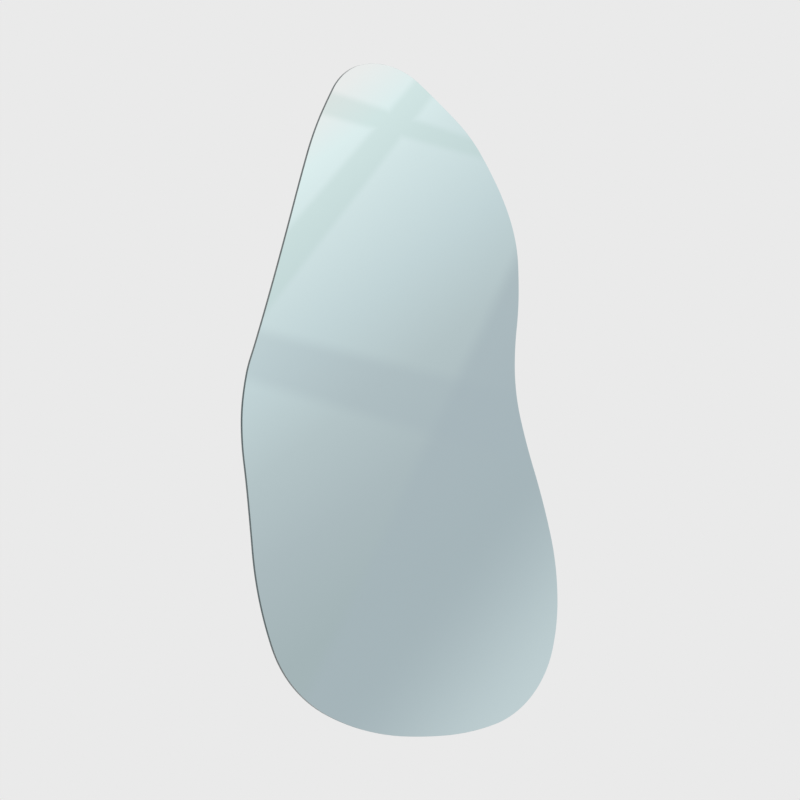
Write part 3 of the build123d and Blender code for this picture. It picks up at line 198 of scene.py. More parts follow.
# %% [markdown]
# ## The lamps
# Three large soft squares stand as a photographer would put them: one high in front, and two behind,
# so that the back of the mirror is lit as well as its front. The front one is kept out of the mirror,
# because the photograph shows none there.
# %% Softboxes
# Where each lamp stands, its side in metres, its watts, and whether reflections show it
LAMPS = {
    "softbox_front": ((-1.6, -2.4, 1.9), 1.6, 34, False),
    "softbox_back": ((1.5, 2.2, 1.6), 1.4, 34, True),
    "softbox_back_low": ((-1.8, 1.6, -0.9), 1.0, 10, True),
}
for name, (stand, side, watts, in_mirror) in LAMPS.items():
    light = bpy.data.lights.new(name, "AREA")
    light.shape = "RECTANGLE"
    light.size, light.size_y, light.energy = side, side, watts
    piece = bpy.data.objects.new(name, light)
    bpy.context.scene.collection.objects.link(piece)
    piece.location = stand
    piece.rotation_euler = (PANE_MIDDLE - Vector(stand)).to_track_quat("-Z", "Y").to_euler()
    piece.visible_camera = False
    piece.visible_glossy = in_mirror
print("lamps:", len(LAMPS))

# %% [markdown]
# ## What the mirror sees
# A mirror has hardly any colour of its own: its look is the room that it faces. The photograph shows
# tall windows with leaning bars in the glass, bright above and fading to a dull blue-grey below.
# They could be painted on the glass, but then they would slide wrongly when the view moves. Here they
# are on a ring of screens round the mirror, which only reflections see, so any view finds a window.
# Each bar lies between two straight edges, and each edge is a direction and a distance.
# %% Ring of windows
RING_RADIUS = 2.6
RING_TOP = 2.8
RING_COLUMNS, RING_ROWS = 720, 3
WINDOWS = 8
WINDOW_PITCH = 2 * math.pi * RING_RADIUS / WINDOWS
SOFT_EDGE = 0.022
# The silver's own share of each channel, which the ring makes up for
SILVER = (0.91, 0.935, 0.93)
ROOM_SHADE = "#A6B5BB"
BAR_SHADE = "#AEC9C3"
CORNER_GLOW = "#C0D0D3"

# Each bar's first edge and second edge: a direction on the ring, and the distance where it lies
LEANING_BAR = (0.762, -0.647), -0.456, (0.793, -0.609), -0.371
UPPER_BAR = (-0.316, -0.949), -0.631, (-0.265, -0.964), -0.593
MIDDLE_BAR = (-0.239, -0.971), -0.078, (-0.285, -0.958), 0.056
LIGHT_EDGE = (0.902, -0.432), 0.101
LIGHT_FALL = (0.6, -0.8)
CORNER_WAY, CORNER_START, CORNER_END = (0.794, -0.608), 0.33, 0.72
POST_HALF = 0.05
# The share of the light that each takes away
BARS_TAKE, MIDDLE_TAKES, ROOM_TAKES, POST_TAKES = 0.27, 0.43, 0.65, 0.6
# The middle bar is weaker at its left end
FADE_START, FADE_END, FADE_LEAST = -0.4, -0.1, 0.62

# Distance along the light's fall, in metres from the pane's middle, and the tone of the sky there
SKY = [
    (-0.67, "#E9ECEB"),
    (-0.56, "#DCEEEE"),
    (-0.455, "#D2E4E5"),
    (-0.24, "#C2D4D7"),
    (-0.055, "#B4C4C7"),
    (0.13, "#ABBABE"),
    (0.34, "#A4B4B7"),
]
print("windows:", WINDOWS, "each", round(WINDOW_PITCH, 2), "m wide")

# %% [markdown]
# ## Places on the ring
# On the ring, across is the distance round it from the middle of a window, and up is above the pane's
# middle. The angle round the upright axis times the radius is the distance round the ring, and wrapping
# it at the width of a window repeats one window all the way round, so that only one has to be drawn.
# The first one stands where the photograph's view looks by way of the glass.
# %% Across and up
glow, tree, shader, place = new_finish("Window light")
tree.nodes.remove(shader)
axes = add(tree, "ShaderNodeSeparateXYZ", {0: place})
back = add(tree, "ShaderNodeMath", {0: axes.outputs[1], 1: -1.0}, operation="MULTIPLY")
angle = add(tree, "ShaderNodeMath", {0: axes.outputs[0], 1: back.outputs[0]}, operation="ARCTAN2")
angle = add(tree, "ShaderNodeMath", {0: angle.outputs[0], 1: VIEW_TURN}, operation="SUBTRACT")
across = add(tree, "ShaderNodeMath", {0: angle.outputs[0], 1: RING_RADIUS}, operation="MULTIPLY")
in_window = {0: across.outputs[0], 1: WINDOW_PITCH / 2, 2: -WINDOW_PITCH / 2}
across = add(tree, "ShaderNodeMath", in_window, operation="WRAP")
on_ring = add(tree, "ShaderNodeCombineXYZ", {0: across.outputs[0], 1: axes.outputs[2]}).outputs[0]
print("the first window turned by", round(math.degrees(VIEW_TURN), 1), "degrees")

# %% [markdown]
# ## Bars and edges
# A straight bar in perspective is a wedge between two lines. A line on the ring is where the distance
# along one direction has a certain value, so a soft step at that value draws its edge. One step times
# the other one turned over is the bar. Painted planes in front of a lamp would look the same, but each
# would have to be fitted eight times round the ring.
# %% Soft steps
def distance(direction):
    """Distance along a direction on the ring: across times its first number plus up times its second."""
    product = add(tree, "ShaderNodeVectorMath", {0: on_ring, 1: (*direction, 0)}, operation="DOT_PRODUCT")
    return product.outputs["Value"]


def beyond(direction, start, soft=SOFT_EDGE):
    """Rises softly from 0 to 1 where the distance along a direction passes start."""
    limits = {0: distance(direction), 1: start - soft / 2, 2: start + soft / 2}
    return add(tree, "ShaderNodeMapRange", limits, interpolation_type="SMOOTHSTEP").outputs[0]


def between(first, first_start, second, second_start, soft=SOFT_EDGE):
    """A bar: beyond its first edge, and not yet beyond its second."""
    inside = beyond(first, first_start, soft)
    past = beyond(second, second_start, soft)
    outside = add(tree, "ShaderNodeMath", {0: 1.0, 1: past}, operation="SUBTRACT")
    return add(tree, "ShaderNodeMath", {0: inside, 1: outside.outputs[0]}, operation="MULTIPLY").outputs[0]


leaning_bar = between(*LEANING_BAR)
upper_bar = between(*UPPER_BAR)
middle_bar = between(*MIDDLE_BAR, 2 * SOFT_EDGE)
fade = {0: distance((1, 0)), 1: FADE_START, 2: FADE_END, 3: FADE_LEAST, 4: 1.0}
fade = add(tree, "ShaderNodeMapRange", fade).outputs[0]
middle_bar = add(tree, "ShaderNodeMath", {0: middle_bar, 1: fade}, operation="MULTIPLY").outputs[0]
edge_of_light = beyond(*LIGHT_EDGE, 2 * SOFT_EDGE)
post = beyond((1, 0), WINDOW_PITCH / 2 - POST_HALF)
print("nodes in the window light so far:", len(tree.nodes))

# %% [markdown]
# ## From bars to light
# The middle bar, the wall beside the window and the post between two windows hide most of the light.
# Each takes a share of what the others leave, so what is left is multiplied from one to the next.
# The two thin bars only veil the sky. Where they cross, the stronger veil counts, not the sum.
# %% Light that gets past
def dimmed(light, mask, share):
    """Light that loses a share of itself where the mask is 1."""
    lost = add(tree, "ShaderNodeMath", {0: mask, 1: -share, 2: 1.0}, operation="MULTIPLY_ADD")
    return add(tree, "ShaderNodeMath", {0: light, 1: lost.outputs[0]}, operation="MULTIPLY").outputs[0]


crossed = add(tree, "ShaderNodeMath", {0: leaning_bar, 1: upper_bar}, operation="MAXIMUM").outputs[0]
light = dimmed(1.0, middle_bar, MIDDLE_TAKES)
light = dimmed(light, edge_of_light, ROOM_TAKES)
light = dimmed(light, post, POST_TAKES)
print("least light left:", round((1 - MIDDLE_TAKES) * (1 - ROOM_TAKES) * (1 - POST_TAKES), 3))

# %% [markdown]
# ## The sky and the room
# The sky is a ramp of tones along the way that the light falls. The thin bars mix a slightly green shade
# into it. Where light is hidden the shade of the room takes its place, and one corner glows a little
# again at the bottom. All of it shines by itself, since no lamp could light a screen so evenly.
# %% The tones of the ring
fall = add(tree, "ShaderNodeMapRange", {0: distance(LIGHT_FALL), 1: SKY[0][0], 2: SKY[-1][0]})
sky = add(tree, "ShaderNodeValToRGB", {0: fall.outputs[0]})
ramp = sky.color_ramp
while len(ramp.elements) < len(SKY):
    ramp.elements.new(0.5)
# The ramp sorts its stops as they move, so their colours are set once all are in place
for stop, (at, colour) in zip(ramp.elements, SKY):
    stop.position = (at - SKY[0][0]) / (SKY[-1][0] - SKY[0][0])
for stop, (at, colour) in zip(ramp.elements, SKY):
    stop.color = linear(colour, SILVER)
veil = add(tree, "ShaderNodeMath", {0: crossed, 1: BARS_TAKE}, operation="MULTIPLY").outputs[0]
window = {0: veil, 6: sky.outputs[0], 7: linear(BAR_SHADE, SILVER)}
window = add(tree, "ShaderNodeMix", window, data_type="RGBA").outputs[2]
room = {0: light, 6: linear(ROOM_SHADE, SILVER), 7: window}
room = add(tree, "ShaderNodeMix", room, data_type="RGBA").outputs[2]
corner = {0: distance(CORNER_WAY), 1: CORNER_START, 2: CORNER_END}
corner = add(tree, "ShaderNodeMapRange", corner, interpolation_type="SMOOTHSTEP").outputs[0]
room = {0: corner, 6: room, 7: linear(CORNER_GLOW, SILVER)}
room = add(tree, "ShaderNodeMix", room, data_type="RGBA").outputs[2]
emission = add(tree, "ShaderNodeEmission", {"Color": room, "Strength": 1.0})
tree.links.new(emission.outputs[0], tree.nodes["Material Output"].inputs["Surface"])
print("tones of the sky:", len(ramp.elements))

# %% [markdown]
# ## The ring itself
# The ring is a short pipe of flat strips, fine enough to be round, with its axis through the pane.
# Every kind of sight but reflection is turned off, so it neither shows nor lights nor shades anything.
# %% The ring
turn = np.linspace(0, 2 * math.pi, RING_COLUMNS, endpoint=False)
turn, up = np.meshgrid(turn, np.linspace(FLOOR_UP - PANE_MIDDLE.z, RING_TOP, RING_ROWS))
wall = np.stack([RING_RADIUS * np.sin(turn), -RING_RADIUS * np.cos(turn), up], axis=-1)
ring = sheet_of("window_ring", wall, glow, closed=True)
ring.location = PANE_MIDDLE
for sight in ("camera", "diffuse", "transmission", "volume_scatter", "shadow"):
    setattr(ring, f"visible_{sight}", False)
print("ring:", len(ring.data.polygons), "faces")

# %% [markdown]
# ## Shared patterns
# Most surfaces are one colour broken up by how they were made. A mottle is a soft cloudiness, a streak
# is the same pattern stretched along the way that the metal was drawn, and a grain is the fine bump
# that a mould leaves. Each takes its size in millimetres of the real surface.
# %% Patterns in real sizes
# Where nearly all of the noise's values lie
NOISE_LEAST, NOISE_MOST = 0.3, 0.7


def mottle(tree, place, size, low, high, stretch=(1, 1, 1), detail=2.0):
    """A value from low to high in patches of about size millimetres, longer where stretch is above 1."""
    scale = tuple(1 / (size * MM * factor) for factor in stretch)
    spread = add(tree, "ShaderNodeVectorMath", {0: place, 1: scale}, operation="MULTIPLY")
    noise = add(tree, "ShaderNodeTexNoise", {"Vector": spread.outputs[0], "Scale": 1.0, "Detail": detail})
    limits = {0: noise.outputs[0], 1: NOISE_LEAST, 2: NOISE_MOST, 3: low, 4: high}
    return add(tree, "ShaderNodeMapRange", limits).outputs[0]


def two_tones(tree, share, first, second):
    """A colour that goes from the first to the second as share goes from 0 to 1."""
    mix = {0: share, 6: linear(first), 7: linear(second)}
    return add(tree, "ShaderNodeMix", mix, data_type="RGBA").outputs[2]


def relief(tree, shader, height, depth):
    """Bumps a surface by a height pattern whose full swing is depth millimetres."""
    bump = add(tree, "ShaderNodeBump", {"Height": height, "Distance": depth * MM, "Strength": 1.0})
    tree.links.new(bump.outputs[0], shader.inputs["Normal"])


def set_look(tree, shader, colour, roughness, metallic=0.0):
    """Sets or links the shader's three main inputs."""
    for name, value in (("Base Color", colour), ("Roughness", roughness), ("Metallic", metallic)):
        if isinstance(value, bpy.types.NodeSocket):
            tree.links.new(value, shader.inputs[name])
        else:
            shader.inputs[name].default_value = value


# %% [markdown]
# ## Metals
# Five metals show from behind, and one function makes four of them. Anodised extrusion is satin with
# faint die lines along its length. Mill extrusion is brighter with drawn streaks. Plated screws are
# bright with a slight blue cast, and tin plated brass is a little yellow.
# All are fully metallic, so that the colour is that of the reflection and nothing shows beneath.
# %% Metal finishes
STREAK_SHARE = 0.6
CLOUD_SIZE = 60
METAL_GLOSS_SWING = 0.06
DIE_LINE_DEPTH = 0.01


def drawn_metal(name, dark, light, roughness, streak, stretch):
    """Metal with streaks, in millimetres across them, stretched along the way it was drawn."""
    material, tree, shader, place = new_finish(name)
    lines = mottle(tree, place, streak, 0.0, 1.0, stretch, 3.0)
    cloud = mottle(tree, place, CLOUD_SIZE, 0.0, 1.0)
    blend = add(tree, "ShaderNodeMath", {0: lines, 1: STREAK_SHARE}, operation="MULTIPLY").outputs[0]
    blend = {0: cloud, 1: 1 - STREAK_SHARE, 2: blend}
    blend = add(tree, "ShaderNodeMath", blend, operation="MULTIPLY_ADD").outputs[0]
    rough = {0: blend, 3: roughness - METAL_GLOSS_SWING, 4: roughness + METAL_GLOSS_SWING}
    rough = add(tree, "ShaderNodeMapRange", rough).outputs[0]
    set_look(tree, shader, two_tones(tree, blend, dark, light), rough, 1.0)
    relief(tree, shader, lines, DIE_LINE_DEPTH)
    return material


anodised = drawn_metal("Satin anodised aluminium", "#C5C6C5", "#D2D2D0", 0.36, 0.8, (300, 1, 300))
mill_aluminium = drawn_metal("Mill finish aluminium", "#C2C3C2", "#D6D6D4", 0.3, 1.2, (200, 1, 1))
plated_steel = drawn_metal("Bright zinc plated steel", "#C2C4C7", "#D5D7D9", 0.24, 1.5, (3, 3, 1))
tinned_brass = drawn_metal("Tin plated brass", "#BDB8A8", "#CFCBBE", 0.28, 1.5, (1, 1, 4))
print("finishes so far:", len(bpy.data.materials))

# %% [markdown]
# ## Spangled zinc sheet
# Zinc that freezes on a dipped sheet grows flat crystals. Each lies its own way, so each flake has a
# grey and a gloss of its own. Cells round scattered points make such flakes, and some noise added to
# the place before the cells are drawn bends their straight borders.
# %% Galvanised sheet
# Zinc spangle is 6 to 15 mm across on tray sheet
SPANGLE = 9 * MM
BRIGHT_FLAKE, DULL_FLAKE = 0.32, 0.5

galvanised, tree, shader, place = new_finish("Galvanised steel sheet")
warp = add(tree, "ShaderNodeTexNoise", {"Vector": place, "Scale": 1 / SPANGLE, "Detail": 3.0})
bent = {0: warp.outputs["Color"], 1: (SPANGLE / 2,) * 3, 2: place}
bent = add(tree, "ShaderNodeVectorMath", bent, operation="MULTIPLY_ADD")
flakes = add(tree, "ShaderNodeTexVoronoi", {"Vector": bent.outputs[0], "Scale": 1 / SPANGLE})
flake = add(tree, "ShaderNodeSeparateColor", {0: flakes.outputs["Color"]})
rough = add(tree, "ShaderNodeMapRange", {0: flake.outputs[1], 3: BRIGHT_FLAKE, 4: DULL_FLAKE})
set_look(tree, shader, two_tones(tree, flake.outputs[0], "#A8AAAA", "#C7C8C7"), rough.outputs[0], 1.0)
relief(tree, shader, flake.outputs[0], DIE_LINE_DEPTH)
print("finishes so far:", len(bpy.data.materials))

# %% [markdown]
# ## Moulded plastics and rubber
# Covers, the switch and the gland are injection moulded. Their tools are spark eroded, which leaves a
# fine matt grain, so the surface is a single colour whose highlight is broken up. Rubber and PVC are
# pressed or extruded, softer in the highlight and slightly uneven.
# The grain of a real part is about a tenth of a millimetre. It is drawn coarser so that it shows.
# %% Plastic finishes
GLOSS_PATCH = 4
GLOSS_SWING = 0.05


def moulded(name, dark, light, roughness, grain=0.5, depth=0.03, cloud=30):
    """Plastic with a mould grain of that many millimetres across and deep, and a slight cloudiness."""
    material, tree, shader, place = new_finish(name)
    tone = mottle(tree, place, cloud, 0.0, 1.0)
    rough = mottle(tree, place, GLOSS_PATCH, roughness - GLOSS_SWING, roughness + GLOSS_SWING)
    set_look(tree, shader, two_tones(tree, tone, dark, light), rough)
    relief(tree, shader, mottle(tree, place, grain, 0.0, 1.0), depth)
    return material


black_nylon = moulded("Textured black nylon", "#17181A", "#1E1F21", 0.48)
black_gloss = moulded("Polished black nylon", "#121214", "#17171A", 0.18, 2.0, 0.005)
white_pc = moulded("Textured white polycarbonate", "#E0E0DC", "#E9E9E5", 0.42)
grey_abs = moulded("Textured grey ABS", "#A0A4A6", "#A9ADAF", 0.45)
yellow_case = moulded("Yellow capacitor case", "#D2A436", "#DCB04A", 0.3, 2.0, 0.01)
opal_acrylic = moulded("Satin opal acrylic", "#ECEEEB", "#F2F3F0", 0.4, 3.0, 0.01, 80)
white_pvc = moulded("White PVC sheath", "#DEDEDA", "#E8E8E4", 0.4, 1.5, 0.02)
black_pvc = moulded("Black PVC sheath", "#1A1B1D", "#232427", 0.42, 1.5, 0.02)
black_rubber = moulded("Moulded black rubber", "#161616", "#1F1F1F", 0.72, 0.6, 0.05)
foam_tape = moulded("Black foam tape", "#101011", "#1A1A1B", 0.88, 0.8, 0.12)
tape_mask = moulded("White solder mask", "#E2E1DA", "#ECEBE5", 0.34, 1.0, 0.01)
print("finishes so far:", len(bpy.data.materials))

# %% [markdown]
# ## The mirror
# Float glass is silvered on its back, and its cut edge is ground and polished with a small arris.
# Clear glass could be built with its silver behind it, but 5 mm of it only adds a faint green cast
# that the silver's own colour can carry, so the front face is the silver.
# The polished edge lets one look along the sheet, so it shows dark grey-green. That dark look is
# painted into the edge's colour, over the glass's own green. The rim behind it, where the safety film
# stops, is the grey paint that keeps the silver dry.
# %% Silvered glass
GLASS_FRONT = -0.040
GLASS_BACK = -0.035
JUST = 0.02 * MM
WALL_ROUGH, SILVER_ROUGH = 0.16, 0.012

silvered_glass, tree, shader, place = new_finish("Silvered float glass")
depth = add(tree, "ShaderNodeSeparateXYZ", {0: place}).outputs[1]
front = add(tree, "ShaderNodeMath", {0: depth, 1: GLASS_FRONT + JUST}, operation="LESS_THAN").outputs[0]
behind = add(tree, "ShaderNodeMath", {0: depth, 1: GLASS_BACK - JUST}, operation="GREATER_THAN").outputs[0]
# The edge's dark grey-green is partly the glass's own green and partly a painted look along the sheet
edge = two_tones(tree, mottle(tree, place, 25, 0.0, 1.0), "#465051", "#4F5959")
paint = two_tones(tree, mottle(tree, place, 12, 0.0, 1.0), "#7E8486", "#888E90")
rim = add(tree, "ShaderNodeMix", {0: behind, 6: edge, 7: paint}, data_type="RGBA").outputs[2]
skin = add(tree, "ShaderNodeMix", {0: front, 6: rim, 7: (*SILVER, 1.0)}, data_type="RGBA").outputs[2]
smooth = add(tree, "ShaderNodeMapRange", {0: front, 3: WALL_ROUGH, 4: SILVER_ROUGH}).outputs[0]
set_look(tree, shader, skin, smooth, front)
print("glass from", GLASS_BACK, "to", GLASS_FRONT, "m from the wall")

# %% [markdown]
# ## One flowing outline
# CAD hands the outline over in short straight facets, and the bright edge of a mirror shows each of
# them. The real outline is one flowing line: a ring of stations, each with the heading that the line
# has there, and each pair joined by two arcs that share a tangent where they meet.
# Here the same line is worked out again, finely, from the same stations.
# %% Stations
# Across and up in millimetres from the middle of the outline, and heading in degrees
STATIONS = np.array([
    (72, -453.5, 0), (219, -404, 48), (258.5, -280, 90), (218, -95, 110), (186.3, 47, 90),
    (192.8, 151, 90), (186.5, 222, 104), (160, 287, 119), (90, 378, 140.5), (-38, 447.2, 180),
    (-85, 432, 218), (-117.5, 384, 243), (-162, 260, 253.5), (-219, 78, 251.5), (-233.5, 33, 258),
    (-240.6, -29, 270), (-231, -130, 276), (-214, -260, 283), (-161, -378, 313), (-57, -437.5, 343),
])
print("stations:", len(STATIONS))

# %% [markdown]
# ## Points along an arc
# Only one arc leaves a point on a given heading and ends at another point. Numpy works out the points
# of all the arcs of the outline in one go, with one row for each arc and one column for each step.
# %% Arcs
ARC_STEPS = 24


def along(heading):
    """Unit vectors that point the way of each heading: its cosine across and its sine up."""
    return np.stack([np.cos(heading), np.sin(heading)], axis=-1)


def arc_points(start, heading, end):
    """Points of the arcs that leave each start on its heading and end at end, and the headings there.

    An arc turns by twice the lean of its chord from the heading, so its radius is the chord's length
    over twice the sine of the lean, and each point is the centre less that radius to the left.
    """
    chord = end - start
    lean = np.arctan2(chord[:, 1], chord[:, 0]) - heading
    lean = (lean + math.pi) % (2 * math.pi) - math.pi
    radius = (np.linalg.norm(chord, axis=1) / (2 * np.sin(lean)))[:, None, None]
    headings = heading[:, None] + 2 * lean[:, None] * np.arange(ARC_STEPS) / ARC_STEPS
    left = along(headings + math.pi / 2)
    centre = start[:, None] + along(heading + math.pi / 2)[:, None] * radius
    return centre - left * radius, headings, heading + 2 * lean


print("steps from station to station:", 2 * ARC_STEPS)

# %% [markdown]
# ## Two arcs between stations
# A handle leads on from one station, and one as long leads back from the next. The arcs meet halfway
# between the handles' ends, and share a tangent there if those ends are two handles apart. That is a
# quadratic in the length of the handle: its square times the spread, plus twice the handle times the
# lead, equals the square of the chord. Where both headings are the same it has no square term.
# %% The outline
NO_SPREAD = 1e-9

starts, headings = STATIONS[:, :2], np.radians(STATIONS[:, 2])
ends = np.roll(starts, -1, axis=0)
leave, arrive = along(headings), along(np.roll(headings, -1))
chords = ends - starts
spread = 2 * (1 - (leave * arrive).sum(axis=1))
lead = (chords * (leave + arrive)).sum(axis=1)
square = (chords ** 2).sum(axis=1)
straight = spread < NO_SPREAD
handle = np.where(straight, square / (2 * lead),
                  (np.sqrt(lead ** 2 + spread * square) - lead) / np.where(straight, 1, spread))
joints = (starts + ends + (leave - arrive) * handle[:, None]) / 2
first, first_headings, joint_headings = arc_points(starts, headings, joints)
second, second_headings, _ = arc_points(joints, joint_headings, ends)
outline = np.concatenate([first, second], axis=1).reshape(-1, 2)
inward = along(np.concatenate([first_headings, second_headings], axis=1).reshape(-1) + math.pi / 2)
print("outline points:", len(outline), "size", np.ptp(outline, axis=0).round(1))

# %% [markdown]
# ## The pane
# A sheet with a worked edge is one profile carried round its outline. The profile runs from the back
# face over a small arris, across the polished side wall and over another arris to the front face.
# The faces close with rings that shrink towards the middle. They stay flat shaded, because a mirror
# shows the least bend, and only the edge is smooth. A row close beside each arris keeps the wall flat.
# %% The pane's surface
# Inset from the outline and distance in front of the back face, in millimetres
EDGE_PROFILE = [(0.5, 0.0), (0.0, 0.5), (0.0, 0.6), (0.0, 4.8), (0.0, 4.9), (0.1, 5.0)]
FACE_RINGS = [0.03, 0.3, 0.6, 0.85]


def pane_row(inset, forward, share=1.0):
    """The outline moved inwards by inset, shrunk to a share of its size, forward of the back face."""
    flat = (outline + inward * inset) * share * MM + (PANE_MIDDLE.x, PANE_MIDDLE.z)
    return np.stack([flat[:, 0], np.full(len(flat), GLASS_BACK - forward * MM), flat[:, 1]], axis=-1)


(back_inset, back_at), (front_inset, front_at) = EDGE_PROFILE[0], EDGE_PROFILE[-1]
rows = [pane_row(back_inset, back_at, share) for share in FACE_RINGS]
rows += [pane_row(*place) for place in EDGE_PROFILE]
rows += [pane_row(front_inset, front_at, share) for share in reversed(FACE_RINGS)]
pane = sheet_of("mirror_pane", np.array(rows), silvered_glass, closed=True, capped=True)
edge_rows = np.arange(len(rows) - 1)
edge_rows = (edge_rows >= len(FACE_RINGS)) & (edge_rows < len(FACE_RINGS) + len(EDGE_PROFILE) - 1)
smooth_faces = np.append(np.repeat(edge_rows, len(outline)), [False, False])
pane.data.polygons.foreach_set("use_smooth", smooth_faces)
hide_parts("mirror_glass")
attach(pane, "mirror_unit")
print("pane:", len(pane.data.polygons), "faces")

# %% [markdown]
# ## The thumbscrews
# Each wall spacer is an M6 thumbscrew: a tip that sits in the rubber foot, a wheel whose rim is fluted
# for the fingers, and a stud with a thread of 1 mm pitch. CAD keeps the stud plain. Here the whole screw
# is one surface round its axis, because a radius that depends on the angle draws both flutes and thread.
# %% Radii of wheel and thread
# Millimetres on the real screw
THUMB_RADIUS, THUMB_THICK = 9.0, 3.0
FLUTES, FLUTE_RADIUS = 18, 0.8
CREST, THREAD_DEPTH, PITCH = 2.9, 0.55, 1.0
STUD_LENGTH, STUD_TAPER = 22.0, 1.0
COLUMNS_A_FLUTE = 6

columns = FLUTES * COLUMNS_A_FLUTE
around = np.arange(columns) * 2 * math.pi / columns


def wheel_radius():
    """The rim's radius at each angle, cut back where that way meets a flute's circle on the rim.

    It meets it at the radius times the cosine, less the root of the flute's radius squared less the
    square of the radius times the sine.
    """
    off = (around + math.pi / FLUTES) % (2 * math.pi / FLUTES) - math.pi / FLUTES
    left_over = FLUTE_RADIUS ** 2 - (THUMB_RADIUS * np.sin(off)) ** 2
    cut = THUMB_RADIUS * np.cos(off) - np.sqrt(np.maximum(left_over, 0))
    return np.where(left_over > 0, cut, THUMB_RADIUS)


def thread_radius(forward):
    """Crest radius less the depth times a triangle wave of forward over pitch less the share of a turn."""
    phase = (forward[:, None] / PITCH - around / (2 * math.pi)) % 1
    thread = CREST - THREAD_DEPTH * (1 - np.abs(2 * phase - 1))
    to_end = STUD_LENGTH - forward[:, None]
    return np.minimum(thread, CREST - THREAD_DEPTH * (1 - np.minimum(to_end / STUD_TAPER, 1)))


print("rim from", wheel_radius().min().round(2), "to", THUMB_RADIUS, "mm")

# %% [markdown]
# ## Two screws from one profile
# The screw's rows run from the end of the tip over the wheel to the end of the stud. A worked corner is
# a short slope between two rows. Faces that meet at more than 35 degrees keep a sharp edge between them,
# and the others are shaded smooth. Each screw takes its axis and its place from the CAD screw's box.
# %% The thumbscrews
# Millimetres on the real screw
TIP_RADIUS, TIP_LENGTH = 1.5, 2.0
CORNER = 0.4
ROWS_A_TURN = 8
SHARP = math.radians(35)


def thumbscrew(side):
    """One thumbscrew: rows of radii from the tip's end forwards, turned round the axis of the CAD screw."""
    low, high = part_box(f"spacer_screw_{side}")
    stud = np.linspace(0, STUD_LENGTH, int(STUD_LENGTH / PITCH) * ROWS_A_TURN + 1)
    back, front = TIP_LENGTH, TIP_LENGTH + THUMB_THICK
    round_tip = np.full_like(around, TIP_RADIUS)
    rim = wheel_radius()
    wheel = [rim - CORNER, rim, rim, rim - CORNER]
    radii = [round_tip - CORNER, round_tip, round_tip, *wheel, *thread_radius(stud)]
    forward = [0, CORNER, back, back, back + CORNER, front - CORNER, front, *(front + stud)]
    radii, forward = np.array(radii) * MM, np.array(forward) * MM
    across = (low.x + high.x) / 2 + radii * np.cos(around)
    up = (low.z + high.z) / 2 + radii * np.sin(around)
    depth = np.broadcast_to(high.y - forward[:, None], radii.shape)
    screw = sheet_of(f"thumbscrew_{side}", np.stack([across, depth, up], axis=-1), plated_steel, True, True)
    screw.data.shade_smooth()
    screw.data.set_sharp_from_angle(angle=SHARP)
    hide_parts(f"spacer_screw_{side}")
    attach(screw, f"{side}_thumbscrew")
    lengths = np.array([high.y - low.y, np.ptp(forward)]) / MM
    print(screw.name, "length in CAD and here", lengths.round(2))


thumbscrew("left")
thumbscrew("right")

# %% [markdown]
# ## The safety film
# The film is grey polyethylene over a square scrim of threads, which keeps broken glass together.
# A thread is a ridge that comes back at every pitch, so a wave that runs to and fro, cut off near
# zero, draws a whole set of them. The film takes a little shine, unevenly, from the adhesive below.
# %% Scrim and film
def wires(tree, place, axis, pitch, width):
    """Ridges every pitch millimetres along an axis, width millimetres wide, as a triangle wave cut off."""
    along = add(tree, "ShaderNodeSeparateXYZ", {0: place}).outputs[axis]
    wave = add(tree, "ShaderNodeMath", {0: along, 1: pitch * MM / 2}, operation="PINGPONG").outputs[0]
    limits = {0: wave, 1: width * MM / 2, 2: 0.0}
    return add(tree, "ShaderNodeMapRange", limits, interpolation_type="SMOOTHSTEP").outputs[0]


# In millimetres: scrim threads are 3 mm apart, but 6 mm shows at this distance
SCRIM_PITCH, SCRIM_WIDTH, SCRIM_HEIGHT = 6, 1.2, 0.08
CREASE_SIZE, GLUE_SIZE = 70, 20

safety_film, tree, shader, place = new_finish("Grey safety film on scrim")
scrim = {number: wires(tree, place, axis, SCRIM_PITCH, SCRIM_WIDTH) for number, axis in enumerate((0, 2))}
scrim = add(tree, "ShaderNodeMath", scrim, operation="MAXIMUM")
creased = mottle(tree, place, CREASE_SIZE, 0.0, 0.5)
share = add(tree, "ShaderNodeMath", {0: scrim.outputs[0], 1: 0.5, 2: creased}, operation="MULTIPLY_ADD")
grey = two_tones(tree, share.outputs[0], "#878D90", "#9BA1A3")
set_look(tree, shader, grey, mottle(tree, place, GLUE_SIZE, 0.42, 0.58))
relief(tree, shader, scrim.outputs[0], SCRIM_HEIGHT)
print("scrim threads every", SCRIM_PITCH, "mm")

# %% [markdown]
# ## The driver's board
# Green solder mask lies over copper tracks, which stand out a little under it and look paler.
# Square rings from a cell pattern measured by its longest side pass for tracks at this size.
# %% Board
TRACK_CELL = 7 * MM
# In shares of a cell: half the distance from ring to ring, and where a ring's edge starts and ends
HALF_RING, TRACK_START, TRACK_END = 0.16, 0.06, 0.09
# Copper is 0.035 mm thick
TRACK_HEIGHT = 0.03

green_board, tree, shader, place = new_finish("Green solder mask")
tracks = {"Vector": place, "Scale": 1 / TRACK_CELL}
tracks = add(tree, "ShaderNodeTexVoronoi", tracks, feature="F1", distance="CHEBYCHEV")
cell = add(tree, "ShaderNodeMath", {0: tracks.outputs["Distance"], 1: HALF_RING}, operation="PINGPONG")
track = add(tree, "ShaderNodeMapRange", {0: cell.outputs[0], 1: TRACK_START, 2: TRACK_END}).outputs[0]
set_look(tree, shader, two_tones(tree, track, "#0F4A2C", "#1B6A40"), mottle(tree, place, 5, 0.22, 0.32))
relief(tree, shader, track, TRACK_HEIGHT)
print("rings of track every", round(2 * HALF_RING * TRACK_CELL / MM, 1), "mm")

